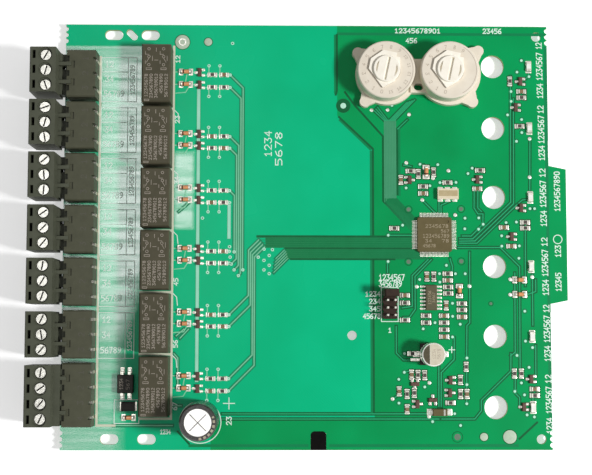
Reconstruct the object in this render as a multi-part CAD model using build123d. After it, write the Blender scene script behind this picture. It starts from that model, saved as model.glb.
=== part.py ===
from build123d import *
import os
from math import atan2, cos, degrees, radians

os.makedirs("parts", exist_ok=True)

# Board: x runs right, y runs up in the view from above, z is up, in millimetres.
# Placings are measured from the middle of the main board, on its top face.
BOARD_X = 168.4
BOARD_Y = 147.3
BOARD_T = 1.6
TAB_REACH = 6.0
TAB_TOP = 24.4
TAB_BOTTOM = -23.7
TAB_SLOPE = 1.2
SCALLOP_R = 0.85
SCALLOP_PITCH = 2.1
SCALLOP_COUNT = 3
SCALLOP_EDGE_GAP = 1.6
SCALLOP_MIDDLE_Y = 32.4
SCALLOP_LOWER_Y = -27.4
MOUNT_R = 1.65
MOUNT_INSET_X = 3.8
MOUNT_INSET_Y = 3.65
MOUNT_X = BOARD_X / 2 - MOUNT_INSET_X
MOUNT_Y = BOARD_Y / 2 - MOUNT_INSET_Y
SLOT_L = 6.3
SLOT_R = 1.75
SLOT_X = -61.1
SLOT_GAP = 12.7
KEY_SLOT_L = 4.6
KEY_SLOT_R = 1.15
KEY_SLOT_AT = (-61.2, 70.1)
KEY_SLOT_TURN = -45
WINDOW_R = 4.0
WINDOW_X = 64.9
WINDOW_YS = (59.3, 37.5, 13.3, -10.8, -34.9, -59.2)
PASS_HOLE_R = 1.6
PASS_HOLE_AT = (15.5, -34.6)
NOTCH_X = 3.9
NOTCH_W = 5.4
NOTCH_DEPTH = 6.4
NOTCH_CORNER_R = 1.4
INSERT_GAP = 0.05

# Pins under the board
TAIL = 2.0
PIN_SIDE = 0.64
PIN_HOLE_GAP = 0.12
PIN_HOLE_SIDES = 8
TOP_Z = TAIL + BOARD_T

# Terminal blocks
POLE_PITCH = 5.08
BLOCK_PITCH = 17.78
BLOCK_TOP_Y = 54.6
BLOCK_POLES = (3, 3, 3, 3, 3, 3, 4)
HEADER_FRONT_X = -82.3
HEADER_DEPTH = 9.8
HEADER_H = 8.6
HEADER_MARGIN = 1.0
HEADER_WALL = 0.9
HEADER_BACK = 1.7
HEADER_PIN = 1.0
HEADER_PIN_Z = 4.2
HEADER_PIN_REACH = 6.2
HEADER_LEG_IN = 0.45
PLUG_FRONT_X = -93.7
PLUG_DEPTH = 8.8
PLUG_BASE_Z = 0.4
PLUG_H = 14.6
PLUG_EDGE = 0.4
NECK_GAP = 0.2
NECK_END_GAP = 0.3
SHOULDER_H = 9.9
SHOULDER_DEPTH = 2.1
CHANNEL_WALL = 0.35
CHANNEL_END_GAP = 0.2
CHANNEL_ROOF = 0.5
LATCH_W = 1.2
LATCH_T = 0.8
LATCH_LIFT = 0.1
LATCH_OVER = 1.5
LATCH_OFFSET = {3: 3.1, 4: 5.7}
SCREW_INSET = 5.2
SCREW_HEAD_R = 1.7
SCREW_HEAD_T = 1.0
SCREW_TOP_Z = 13.6
SCREW_SHANK_R = 1.2
SCREW_SLOT_W = 0.5
SCREW_SLOT_DEPTH = 0.5
WELL_R = 1.95
WELL_RIM_R = 2.35
WELL_RIM_DEPTH = 0.7
CAGE_L = 4.6
CAGE_W = 4.0
CAGE_BASE_Z = 2.2
CAGE_H = 6.4
CAGE_WALL = 0.5
CHAMBER_GAP = 0.15
BAR_Z = 6.9
BAR_T = 0.4
WIRE_W = 3.3
WIRE_H = 3.7
WIRE_Z = 4.8
FUNNEL_STEP = 0.45
FUNNEL_DEPTH = 0.6
TEST_SLOT_INSET = 0.9
TEST_SLOT_L = 2.8
TEST_SLOT_W = 1.1
TEST_SLOT_DEPTH = 4.5
SPRING_T = 0.35
SPRING_W = 2.0
SPRING_GAP = 0.08
SPRING_TAIL = 1.6
SOCKET_GAP = 0.25

# Relays
RELAY_X = -51.7
RELAY_TOP_Y = 54.5
RELAY_COUNT = 6
RELAY_W = 9.9
RELAY_L = 20.0
RELAY_GAP = 1.25
RELAY_PITCH = RELAY_L + RELAY_GAP
RELAY_H = 10.0
RELAY_FOOT = 0.4
RELAY_FOOT_SIDE = 0.7
RELAY_EDGE = 0.45
RELAY_ROW = 3.81
RELAY_PIN_YS = (8.89, 1.27, -3.81, -8.89)
RELAY_MARK_R = 0.7
RELAY_MARK_IN = 2.0
RELAY_MARK_DEPTH = 0.15

# Rotary address switches
SWITCH_XS = (26.9, 48.7)
SWITCH_Y = 56.2
FLANGE_R = 10.9
FLANGE_T = 2.6
DRUM_R = 9.9
DRUM_H = 9.5
DRUM_EDGE = 0.35
EAR_R = 1.9
HOUSING_SHIFT = 0.8
EAR_ROOT_W = 9.0
EAR_ROOT_R = 8.0
EARS = ((0, -10.1, 7.3), (0, -7.6, -9.8), (1, 10.1, 8.1), (1, 8.0, -9.8))
WEB_H = 3.4
WEB_W = 5.6
WEB_TOP = 5.0
WEB_BOTTOM = -6.8
WEB_HOLE_R = 1.2
WEB_HOLE_L = 3.2
WEB_HOLE_Y = -4.8
DIAL_R = 4.7
DIAL_GAP = 0.1
DIAL_SEAT_Z = 4.0
ARROW_T = 0.8
ARROW_LIFT = 0.1
ARROW_TIP_R = 6.6
ARROW_TAIL_R = 6.2
ARROW_TAIL_W = 7.4
ARROW_NOTCH = 1.3
ARROW_CHEEK = 0.75
ARROW_TURN = -12.0
BOSS_T = 0.9
BLADE_SLOT_W = 1.1
BLADE_SLOT_L = 8.0
CRESCENT_R = 3.7
CRESCENT_W = 0.7
CRESCENT_SPAN = 70
DIAL_CUT_DEPTH = 0.7
SWITCH_PIN_XS = (-2.54, 0.0, 2.54)
SWITCH_ROW = 3.81
CONTACT_T = 0.3
CONTACT_R = 3.4
SWITCH_BASE_R = 6.2

# Chips with gull-wing leads
MCU_AT = (44.0, 0.2)
MCU_BODY = 12.0
MCU_H = 1.4
MCU_LEADS = 20
MCU_PITCH = 0.5
MCU_LEAD_W = 0.22
MCU_SPAN = 14.0
MCU_CORNER = 0.5
CHIP_STAND = 0.1
CHIP_EDGE = 0.2
LEAD_T = 0.15
FOOT_L = 0.6
AMP_AT = (42.75, -21.6)
AMP_W = 3.9
AMP_L = 8.7
AMP_H = 1.5
AMP_LEADS = 7
AMP_PITCH = 1.27
AMP_LEAD_W = 0.42
AMP_SPAN = 6.0

# Resonator, jumper block and lamps
RESONATOR_AT = (48.8, 14.3)
RESONATOR_X = 7.2
RESONATOR_Y = 3.7
RESONATOR_H = 1.8
RESONATOR_PITCH = 2.5
RESONATOR_END_W = 1.3
RESONATOR_END_T = 0.15
JUMPER_XS = (27.2, 29.74)
JUMPER_TOP_Y = -20.05
JUMPER_ROWS = 4
JUMPER_PITCH = 2.54
JUMPER_BASE_H = 2.5
JUMPER_PIN_TOP = 8.4
JUMPER_BASE_CUT = 0.5
CAP_W = 5.0
CAP_D = 2.4
CAP_BASE_Z = 2.7
CAP_H = 6.9
CAP_WALL = 0.5
CAP_ROOF = 0.8
CLIP_T = 0.2
CLIP_GAP = 0.06
LAMP_X = 77.6
LAMP_W = 1.6
LAMP_L = 3.0
LAMP_H = 1.1
LAMP_END = 0.7

# Capacitors
CAN_AT = (-36.0, -62.8)
CAN_R = 5.95
CAN_H = 20.0
SLEEVE_T = 0.15
SLEEVE_LIP = 1.5
CAN_ROLL = 0.5
VENT_W = 0.3
VENT_L = 7.6
VENT_DEPTH = 0.15
BUNG_R = 5.0
BUNG_H = 0.9
CAN_LEAD_GAP = 5.0
CAN_LEAD_R = 0.35
SMALL_CAN_AT = (42.5, -41.0)
SMALL_CAN_R = 3.95
SMALL_CAN_H = 7.6
SMALL_BASE = 7.4
SMALL_BASE_H = 1.2
SMALL_BASE_CUT = 1.4
SMALL_GROOVE_Z = 1.6
SMALL_GROOVE_W = 0.7
SMALL_GROOVE = 0.25
SMALL_LEAD_W = 0.9
SMALL_LEAD_T = 0.3
SMALL_LEAD_OUT = 1.5

# Rectifier, power diode and choke
BRIDGE_AT = (-61.9, -51.1)
BRIDGE_X = 5.4
BRIDGE_Y = 6.2
BRIDGE_H = 2.6
BRIDGE_LEAD_XS = (-1.25, 1.25)
BRIDGE_SPAN = 9.4
BRIDGE_LEAD_W = 1.0
POWER_DIODE_AT = (45.4, -60.8)
POWER_DIODE_X = 5.0
POWER_DIODE_Y = 2.4
POWER_DIODE_H = 2.1
POWER_DIODE_SPAN = 7.0
POWER_DIODE_LEAD_W = 1.4
CHOKE_AT = (-61.0, -58.8)
CHOKE_X = 4.6
CHOKE_Y = 3.2
CHOKE_H = 2.2
CHOKE_END = 0.5

# Small glass diodes, transistors, resistors and capacitors
MELF_L = 3.4
MELF_R = 0.72
MELF_END_L = 0.5
MELF_END_GROW = 0.05
SOT_L = 2.9
SOT_W = 1.3
SOT_H = 1.0
SOT_PITCH = 1.9
SOT_SPAN = 2.5
SOT_LEAD_W = 0.42
CHIP_L = 2.0
CHIP_W = 1.25
CHIP_H = 0.55
CHIP_END = 0.35
END_GROW = 0.03
PART_GAP = 0.02

# Driver rows beside the relays: upper and lower row of each of the six groups
DRIVER_ROW_YS = (
    (57.0, 52.6), (35.3, 31.2), (16.4, 12.2), (-4.7, -8.8), (-26.6, -30.6), (-48.4, -52.6),
)
DRIVER_DIODE_X = -42.3
DRIVER_SOT_X = -37.5
DRIVER_CHIP_XS = (-33.1, -29.0)
DRIVER_SOT_DROP = 0.2
DRIVER_CHIP_DROP = 1.0

# Placings by area: x, y and the way that the part lies
GLASS_DIODES = (
    (73.5, -15.4, "x"), (73.5, -20.4, "x"), (41.4, 22.1, "y"), (52.6, -19.3, "y"), (-60.9, -62.6, "x"),
)
LAMP_SIDE_CHIPS = (
    (71.0, 54.2, "y"), (75.0, 50.6, "x"), (75.0, 48.4, "x"), (74.2, 38.3, "x"),
    (68.3, 2.8, "x"), (75.7, 4.6, "x"), (75.7, 2.6, "x"), (70.8, -3.7, "x"),
    (71.3, -47.6, "y"), (73.7, -47.6, "y"), (78.2, -52.9, "x"), (78.2, -55.1, "x"),
)
SUPPLY_CHIPS = (
    (36.0, 22.4, "x"), (32.6, 19.3, "y"), (38.7, 21.4, "y"), (40.3, 17.0, "x"), (40.3, 14.6, "x"),
    (48.8, 18.4, "x"), (60.2, 22.7, "x"), (59.2, 16.3, "x"), (30.2, 2.4, "x"), (44.0, 22.0, "y"),
)
JUMPER_CHIPS = ((33.7, -20.8, "x"), (33.7, -23.4, "x"), (33.7, -29.3, "x"))
AMP_CHIPS = (
    (41.4, -14.3, "y"), (43.8, -14.3, "y"), (48.6, -13.3, "x"), (48.6, -15.6, "x"),
    (48.7, -17.9, "x"), (48.7, -20.1, "x"), (48.0, -24.3, "y"), (41.0, -27.8, "x"), (41.0, -30.2, "x"),
    (47.2, -27.8, "x"), (47.2, -30.2, "x"), (47.2, -32.6, "x"), (47.2, -35.0, "x"),
    (53.4, -23.6, "x"), (53.4, -25.8, "x"), (53.4, -28.2, "x"),
)
LOWER_CHIPS = (
    (36.2, -40.8, "x"), (54.7, -45.3, "y"), (35.9, -48.0, "y"), (38.1, -48.1, "y"), (40.4, -48.2, "y"),
    (31.6, -53.7, "y"), (34.3, -54.6, "y"), (36.8, -54.2, "y"), (34.3, -59.8, "y"),
    (52.7, -49.8, "y"), (52.7, -54.6, "y"), (54.9, -54.6, "y"), (49.2, -57.6, "x"),
)
LOOSE_CHIPS = LAMP_SIDE_CHIPS + SUPPLY_CHIPS + JUMPER_CHIPS + AMP_CHIPS + LOWER_CHIPS
# Transistors: x, y and the turn of the side with the single lead
LOOSE_SOTS = (
    (35.6, 19.3, 0), (70.9, -0.4, 180), (74.6, 54.1, 180), (72.9, 44.9, 180), (74.3, 9.6, 180),
    (77.0, -49.5, 180), (74.4, -59.0, 180), (49.2, -49.9, 180), (49.0, -54.2, 0), (37.8, -58.0, 0),
    (43.1, -56.6, 90), (37.0, -51.2, 270), (59.2, 19.5, 180),
)

# The frame's origin lies under the middle of the whole part, on the surface it rests on
PART_MIDDLE_X = (PLUG_FRONT_X + BOARD_X / 2 + TAB_REACH) / 2


def save(name, solids):
    """Write one node, moved from the board's middle to the frame's origin."""
    bodies = solids if isinstance(solids, list) else [solids]
    parts = [piece for body in bodies for piece in body.solids()]
    shape = Pos(-PART_MIDDLE_X, 0, TOP_Z) * Compound(children=parts)
    shape.label = name
    export_step(shape, f"parts/{name}.step")


def block(x0, x1, y0, y1, z0, z1):
    """A box between two corners."""
    return Pos((x0 + x1) / 2, (y0 + y1) / 2, (z0 + z1) / 2) * Box(x1 - x0, y1 - y0, z1 - z0)


def block_at(x, y, length, width, z0, z1):
    """A box on a middle point."""
    return block(x - length / 2, x + length / 2, y - width / 2, y + width / 2, z0, z1)


def post(x, y, radius, z0, z1):
    """An upright cylinder."""
    return Pos(x, y, (z0 + z1) / 2) * Cylinder(radius, z1 - z0)


def side_profile(points, y0, y1):
    """A closed outline in x and z, drawn out along y."""
    face = make_face(Polyline(*[(x, 0, z) for x, z in points], close=True))
    return Pos(0, y0, 0) * extrude(face, amount=y1 - y0, dir=(0, 1, 0))


def plan_profile(points, z0, z1):
    """A closed outline in x and y, drawn up along z."""
    face = make_face(Polyline(*[(x, y) for x, y in points], close=True))
    return Pos(0, 0, z0) * extrude(face, amount=z1 - z0, dir=(0, 0, 1))


def slot_cut(x, y, length, radius, z0, z1, turn=0.0):
    """A straight slot with round ends."""
    outline = Pos(x, y, z0) * Rot(0, 0, turn) * SlotOverall(length, 2 * radius)
    return extrude(outline, amount=z1 - z0)


def square_pin(x, y, side, z0, z1):
    """A straight square pin."""
    return block_at(x, y, side, side, z0, z1)


def turned(x, y, points):
    """A closed outline in radius and height, turned about an upright axis."""
    face = make_face(Polyline(*points, close=True))
    return Pos(x, y, 0) * revolve(Rot(90, 0, 0) * face, Axis.Z)


def cut_all(shape, cutters):
    """Take a list of shapes away in one go."""
    return shape - Compound(children=[piece for cutter in cutters for piece in cutter.solids()])


# Where the terminal blocks stand
def block_middles():
    """The middle y and the pole count of each terminal block."""
    places = []
    for index, poles in enumerate(BLOCK_POLES):
        drop = (poles - BLOCK_POLES[0]) * POLE_PITCH / 2
        places.append((BLOCK_TOP_Y - index * BLOCK_PITCH - drop, poles))
    return places


def pole_ys(middle, poles):
    """The y of each pole of one block."""
    return [middle + ((poles - 1) / 2 - index) * POLE_PITCH for index in range(poles)]


BLOCKS = block_middles()
HEADER_BACK_X = HEADER_FRONT_X + HEADER_DEPTH
HEADER_LEG_X = HEADER_BACK_X - HEADER_LEG_IN
PLUG_BACK_X = PLUG_FRONT_X + PLUG_DEPTH
SCREW_X = PLUG_FRONT_X + SCREW_INSET
NECK_BACK_X = HEADER_BACK_X - HEADER_BACK - NECK_END_GAP
PIN_TIP_X = HEADER_BACK_X - HEADER_BACK - HEADER_PIN_REACH
RELAY_YS = [RELAY_TOP_Y - index * RELAY_PITCH for index in range(RELAY_COUNT)]
JUMPER_YS = [JUMPER_TOP_Y - row * JUMPER_PITCH for row in range(JUMPER_ROWS)]
FLOOR_Z = -BOARD_T - TAIL


def relay_pin_places():
    """The x and y of every relay pin."""
    return [(RELAY_X + side * RELAY_ROW, y + offset)
            for y in RELAY_YS for offset in RELAY_PIN_YS for side in (-1, 1)]


def switch_pin_places():
    """The x and y of every switch pin."""
    return [(x + offset, SWITCH_Y + side * SWITCH_ROW)
            for x in SWITCH_XS for offset in SWITCH_PIN_XS for side in (-1, 1)]


def jumper_pin_places():
    """The x and y of every pin of the jumper block."""
    return [(x, y) for x in JUMPER_XS for y in JUMPER_YS]


def can_lead_places():
    """The x and y of the main capacitor's leads."""
    x, y = CAN_AT
    return [(x + side * CAN_LEAD_GAP / 2, y) for side in (-1, 1)]


# Circuit board
def scallops():
    """The half-round bites left where the board was broken from its panel."""
    upper = BOARD_Y / 2 - SCALLOP_EDGE_GAP
    starts = [(side, y) for side in (-1, 1) for y in (upper, -upper + (SCALLOP_COUNT - 1) * SCALLOP_PITCH)]
    starts += [(1, SCALLOP_MIDDLE_Y), (1, SCALLOP_LOWER_Y)]
    return [post(side * BOARD_X / 2, y - step * SCALLOP_PITCH, SCALLOP_R, -BOARD_T, 0)
            for side, y in starts for step in range(SCALLOP_COUNT)]


def notch(gap):
    """The plan of the lower notch, made smaller all round by a gap."""
    low = -BOARD_Y / 2
    width = NOTCH_W - 2 * gap
    depth = NOTCH_DEPTH - gap
    body = block_at(NOTCH_X, low + depth / 2, width, depth, -BOARD_T, 0)
    inner = body.edges().filter_by(Axis.Z).group_by(Axis.Y)[-1]
    return fillet(inner, NOTCH_CORNER_R - gap)


def pin_hole(x, y, side):
    """A plated hole for one pin, drawn with eight sides."""
    radius = side / 2 * 2 ** 0.5 + PIN_HOLE_GAP
    return extrude(Pos(x, y, -BOARD_T) * RegularPolygon(radius, PIN_HOLE_SIDES), amount=BOARD_T)


def make_board():
    """The board with its tab and every hole."""
    right = BOARD_X / 2
    far = right + TAB_REACH
    tab = [
        (right - TAB_SLOPE, TAB_TOP), (right, TAB_TOP), (far, TAB_TOP - TAB_SLOPE),
        (far, TAB_BOTTOM + TAB_SLOPE), (right, TAB_BOTTOM), (right - TAB_SLOPE, TAB_BOTTOM),
    ]
    board = block_at(0, 0, BOARD_X, BOARD_Y, -BOARD_T, 0) + plan_profile(tab, -BOARD_T, 0)
    cuts = scallops() + [notch(0)]
    for side in (-1, 1):
        cuts.append(post(MOUNT_X, side * MOUNT_Y, MOUNT_R, -BOARD_T, 0))
        for across in (-1, 1):
            slot_x = SLOT_X + across * SLOT_GAP / 2
            cuts.append(slot_cut(slot_x, side * MOUNT_Y, SLOT_L, SLOT_R, -BOARD_T, 0))
    cuts.append(slot_cut(*KEY_SLOT_AT, KEY_SLOT_L, KEY_SLOT_R, -BOARD_T, 0, turn=KEY_SLOT_TURN))
    cuts += [post(WINDOW_X, y, WINDOW_R, -BOARD_T, 0) for y in WINDOW_YS]
    cuts.append(post(*PASS_HOLE_AT, PASS_HOLE_R, -BOARD_T, 0))
    for middle, poles in BLOCKS:
        cuts += [pin_hole(HEADER_LEG_X, y, HEADER_PIN) for y in pole_ys(middle, poles)]
    thin = relay_pin_places() + switch_pin_places() + jumper_pin_places() + can_lead_places()
    cuts += [pin_hole(x, y, PIN_SIDE) for x, y in thin]
    return cut_all(board, cuts)


# Terminal headers
def make_header(middle, poles):
    """An open moulded shroud that takes one plug, with a channel in its back for each pin's leg."""
    half = (poles * POLE_PITCH + HEADER_MARGIN) / 2
    front = HEADER_FRONT_X
    back = HEADER_BACK_X
    room_half = half - HEADER_WALL
    room_back = back - HEADER_BACK
    room_top = HEADER_H - HEADER_WALL
    body = block(front, back, middle - half, middle + half, 0, HEADER_H)
    body = chamfer(body.edges().filter_by(Axis.X).group_by(Axis.Z)[-1], HEADER_WALL / 2)
    cuts = [block(front, room_back, middle - room_half, middle + room_half, HEADER_WALL, room_top)]
    for y in pole_ys(middle, poles):
        pin = HEADER_PIN / 2
        cuts.append(block(room_back, back, y - pin, y + pin, HEADER_PIN_Z - pin, HEADER_PIN_Z + pin))
        cuts.append(block(HEADER_LEG_X - pin, back, y - pin, y + pin, 0, HEADER_H))
        cuts.append(block(front, front + HEADER_WALL, y - HEADER_PIN, y + HEADER_PIN, room_top, HEADER_H))
    for side in (-1, 1):
        y = middle + side * LATCH_OFFSET[poles]
        end = front + LATCH_OVER
        catch_z = HEADER_H - HEADER_WALL / 2
        cuts.append(block(end, end + LATCH_W, y - LATCH_W, y + LATCH_W, catch_z, HEADER_H))
    return cut_all(body, cuts)


def make_header_pin(y):
    """A square pin bent down behind its header."""
    half = HEADER_PIN / 2
    z = HEADER_PIN_Z
    outer = HEADER_LEG_X + half
    inner = HEADER_LEG_X - half
    points = [
        (PIN_TIP_X, z - half), (PIN_TIP_X, z + half), (outer - half, z + half), (outer, z),
        (outer, FLOOR_Z), (inner, FLOOR_Z), (inner, z - half),
    ]
    return side_profile(points, y - half, y + half)


# Plugs and what is inside them
def make_plug(middle, poles):
    """A screw plug: tall clamp block, neck, wells, wire entries and latch arms."""
    half = poles * POLE_PITCH / 2
    back = PLUG_BACK_X
    top = PLUG_BASE_Z + PLUG_H
    body = block(PLUG_FRONT_X, back, middle - half, middle + half, PLUG_BASE_Z, top)
    body = chamfer(body.edges().filter_by(Axis.Y).group_by(Axis.X)[0], PLUG_EDGE)
    neck_half = half + HEADER_MARGIN / 2 - HEADER_WALL - NECK_GAP
    neck_low = HEADER_WALL + NECK_GAP
    neck_top = HEADER_H - HEADER_WALL - NECK_GAP
    body += block(back, NECK_BACK_X, middle - neck_half, middle + neck_half, neck_low, neck_top)
    if poles > BLOCK_POLES[0]:
        body += block(back, back + SHOULDER_DEPTH, middle - half, middle + half, PLUG_BASE_Z, SHOULDER_H)
    else:
        body = cut_all(body, neck_channels(middle, poles, neck_half, neck_low, neck_top))
    arm_low = HEADER_H + LATCH_LIFT
    arm_top = arm_low + LATCH_T
    arm_end = HEADER_FRONT_X + LATCH_OVER
    arm_root = HEADER_FRONT_X - HEADER_WALL
    arm = [
        (back, neck_top), (back, arm_top), (arm_end, arm_top),
        (arm_end, arm_low), (arm_root, arm_low), (arm_root, neck_top),
    ]
    for side in (-1, 1):
        y = middle + side * LATCH_OFFSET[poles]
        body += side_profile(arm, y - LATCH_W / 2, y + LATCH_W / 2)
    cuts = []
    for y in pole_ys(middle, poles):
        cuts += plug_pole_cuts(y, top)
    return cut_all(body, cuts)


def neck_channels(middle, poles, neck_half, neck_low, neck_top):
    """The channel across a neck under the latch arms, and the openings between its poles."""
    start = SCREW_X + CAGE_L / 2 + CHAMBER_GAP + SPRING_TAIL + CHANNEL_WALL
    end = HEADER_FRONT_X - CHANNEL_END_GAP
    floor = HEADER_PIN_Z + HEADER_PIN / 2 + SPRING_GAP + SPRING_T + SOCKET_GAP + CHANNEL_ROOF
    gap_half = (POLE_PITCH - SPRING_W) / 2 - CHAMBER_GAP - 2 * CHANNEL_WALL
    cuts = [block(start, end, middle - neck_half, middle + neck_half, floor, neck_top)]
    for y in pole_ys(middle, poles)[1:]:
        gap_y = y + POLE_PITCH / 2
        cuts.append(block(start, end, gap_y - gap_half, gap_y + gap_half, neck_low, neck_top))
    return cuts


def plug_pole_cuts(y, top):
    """The room inside a plug for one pole."""
    half_w = CAGE_W / 2 + CHAMBER_GAP
    x0 = SCREW_X - CAGE_L / 2 - CHAMBER_GAP
    x1 = SCREW_X + CAGE_L / 2 + CHAMBER_GAP
    room_top = CAGE_BASE_Z + CAGE_H + CHAMBER_GAP
    leaf_half = SPRING_W / 2 + CHAMBER_GAP
    leaf = HEADER_PIN / 2 + SPRING_GAP + SPRING_T + SOCKET_GAP
    leaf_low = HEADER_PIN_Z - leaf
    leaf_top = HEADER_PIN_Z + leaf
    bar_top = BAR_Z + BAR_T + CHAMBER_GAP
    wire_half = WIRE_W / 2
    mouth_half = wire_half + FUNNEL_STEP
    mouth_low = WIRE_Z - WIRE_H / 2 - FUNNEL_STEP
    mouth_top = WIRE_Z + WIRE_H / 2 + FUNNEL_STEP
    mouth_end = PLUG_FRONT_X + FUNNEL_DEPTH
    test_x = PLUG_FRONT_X + TEST_SLOT_INSET
    test_half = TEST_SLOT_L / 2
    return [
        block(x0, x1, y - half_w, y + half_w, CAGE_BASE_Z - CHAMBER_GAP, room_top),
        block(PLUG_FRONT_X, x0, y - wire_half, y + wire_half, WIRE_Z - WIRE_H / 2, WIRE_Z + WIRE_H / 2),
        block(PLUG_FRONT_X, mouth_end, y - mouth_half, y + mouth_half, mouth_low, mouth_top),
        post(SCREW_X, y, WELL_R, room_top, top),
        post(SCREW_X, y, WELL_RIM_R, top - WELL_RIM_DEPTH, top),
        block(test_x, test_x + TEST_SLOT_W, y - test_half, y + test_half, top - TEST_SLOT_DEPTH, top),
        block(x1, x1 + SPRING_TAIL, y - leaf_half, y + leaf_half, leaf_low, bar_top),
        block(x1, NECK_BACK_X, y - leaf_half, y + leaf_half, leaf_low, leaf_top),
    ]


def make_cage(y):
    """The rising cage that clamps one wire."""
    top = CAGE_BASE_Z + CAGE_H
    low = CAGE_BASE_Z + CAGE_WALL
    cage = block_at(SCREW_X, y, CAGE_L, CAGE_W, CAGE_BASE_Z, top)
    cage -= block_at(SCREW_X, y, CAGE_L, CAGE_W - 2 * CAGE_WALL, low, top - 2 * CAGE_WALL)
    return cage - post(SCREW_X, y, SCREW_SHANK_R, low, top)


def make_screw(y, turn):
    """A slotted clamp screw, its head turned as it was left."""
    under = SCREW_TOP_Z - SCREW_HEAD_T
    head = post(SCREW_X, y, SCREW_HEAD_R, under, SCREW_TOP_Z)
    slot = Box(2 * SCREW_HEAD_R, SCREW_SLOT_W, SCREW_SLOT_DEPTH)
    head -= Pos(SCREW_X, y, SCREW_TOP_Z - SCREW_SLOT_DEPTH / 2) * Rot(0, 0, turn) * slot
    return head + post(SCREW_X, y, SCREW_SHANK_R, BAR_Z + BAR_T, under)


def make_contact(y):
    """The contact bar with its two spring leaves that grip the header pin."""
    x0 = SCREW_X - CAGE_L / 2
    web = SCREW_X + CAGE_L / 2 + CHAMBER_GAP + SPRING_TAIL / 2
    tip = PIN_TIP_X + HEADER_PIN_REACH - SPRING_TAIL
    near = HEADER_PIN / 2 + SPRING_GAP
    far = near + SPRING_T
    z = HEADER_PIN_Z
    points = [
        (x0, BAR_Z), (x0, BAR_Z + BAR_T), (web, BAR_Z + BAR_T), (web, z + far), (tip, z + far),
        (tip, z + near), (web, z + near), (web, z - near), (tip, z - near), (tip, z - far),
        (web - SPRING_T, z - far), (web - SPRING_T, BAR_Z),
    ]
    return side_profile(points, y - SPRING_W / 2, y + SPRING_W / 2)


# How far each clamp screw was turned, block by block from the top
SCREW_TURNS = (
    (60, 75, 110), (20, 75, 100), (40, 95, 85), (35, 45, 50), (80, 60, 70), (65, 100, 50), (80, 35, 50, 65),
)


def make_clamps(middle, poles, turns):
    """Every clamp of one plug."""
    pieces = []
    for y, turn in zip(pole_ys(middle, poles), turns):
        pieces += [make_cage(y), make_screw(y, turn), make_contact(y)]
    return pieces


# Relays
def make_relay(y):
    """A sealed relay on four small feet, with a dot at its first pin."""
    body = block_at(RELAY_X, y, RELAY_W, RELAY_L, RELAY_FOOT, RELAY_H)
    body = chamfer(body.faces().sort_by(Axis.Z)[-1].edges(), RELAY_EDGE)
    foot_x = (RELAY_W - RELAY_FOOT_SIDE) / 2
    foot_y = (RELAY_L - RELAY_FOOT_SIDE) / 2
    for side in (-1, 1):
        for end in (-1, 1):
            body += square_pin(RELAY_X + side * foot_x, y + end * foot_y, RELAY_FOOT_SIDE, 0, RELAY_FOOT)
    mark_x = RELAY_X - RELAY_W / 2 + RELAY_MARK_IN
    mark_y = y + RELAY_L / 2 - RELAY_MARK_IN
    return body - post(mark_x, mark_y, RELAY_MARK_R, RELAY_H - RELAY_MARK_DEPTH, RELAY_H)


# Rotary switches
def make_switch_housing():
    """Both switch drums, their flanges, the four ears and the web, moulded as one."""
    body = None
    for x in SWITCH_XS:
        drum = post(x, SWITCH_Y, DRUM_R, 0, DRUM_H)
        drum = chamfer(drum.edges().sort_by(Axis.Z)[-1], DRUM_EDGE)
        part = drum + post(x + HOUSING_SHIFT, SWITCH_Y, FLANGE_R, 0, FLANGE_T)
        body = part if body is None else body + part
    for index, dx, dy in EARS:
        x = SWITCH_XS[index] + HOUSING_SHIFT
        reach = (dx ** 2 + dy ** 2) ** 0.5
        turn = degrees(atan2(dy, dx))
        root = EAR_ROOT_W / 2
        outline = [(EAR_ROOT_R, -root), (reach, -EAR_R), (reach, EAR_R), (EAR_ROOT_R, root)]
        body += Pos(x, SWITCH_Y, 0) * Rot(0, 0, turn) * plan_profile(outline, 0, FLANGE_T)
        body += post(x + dx, SWITCH_Y + dy, EAR_R, 0, FLANGE_T)
    middle = sum(SWITCH_XS) / 2 + HOUSING_SHIFT
    web_half = WEB_W / 2
    body += block(middle - web_half, middle + web_half, SWITCH_Y + WEB_BOTTOM, SWITCH_Y + WEB_TOP, 0, WEB_H)
    cuts = [slot_cut(middle, SWITCH_Y + WEB_HOLE_Y, WEB_HOLE_L, WEB_HOLE_R, 0, WEB_H)]
    for x in SWITCH_XS:
        cuts.append(post(x, SWITCH_Y, DIAL_R + DIAL_GAP, DIAL_SEAT_Z, DRUM_H))
        cuts.append(post(x, SWITCH_Y, CONTACT_R, CONTACT_T, DIAL_SEAT_Z))
        cuts.append(post(x, SWITCH_Y, SWITCH_BASE_R, 0, CONTACT_T))
    return cut_all(body, cuts)


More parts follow.
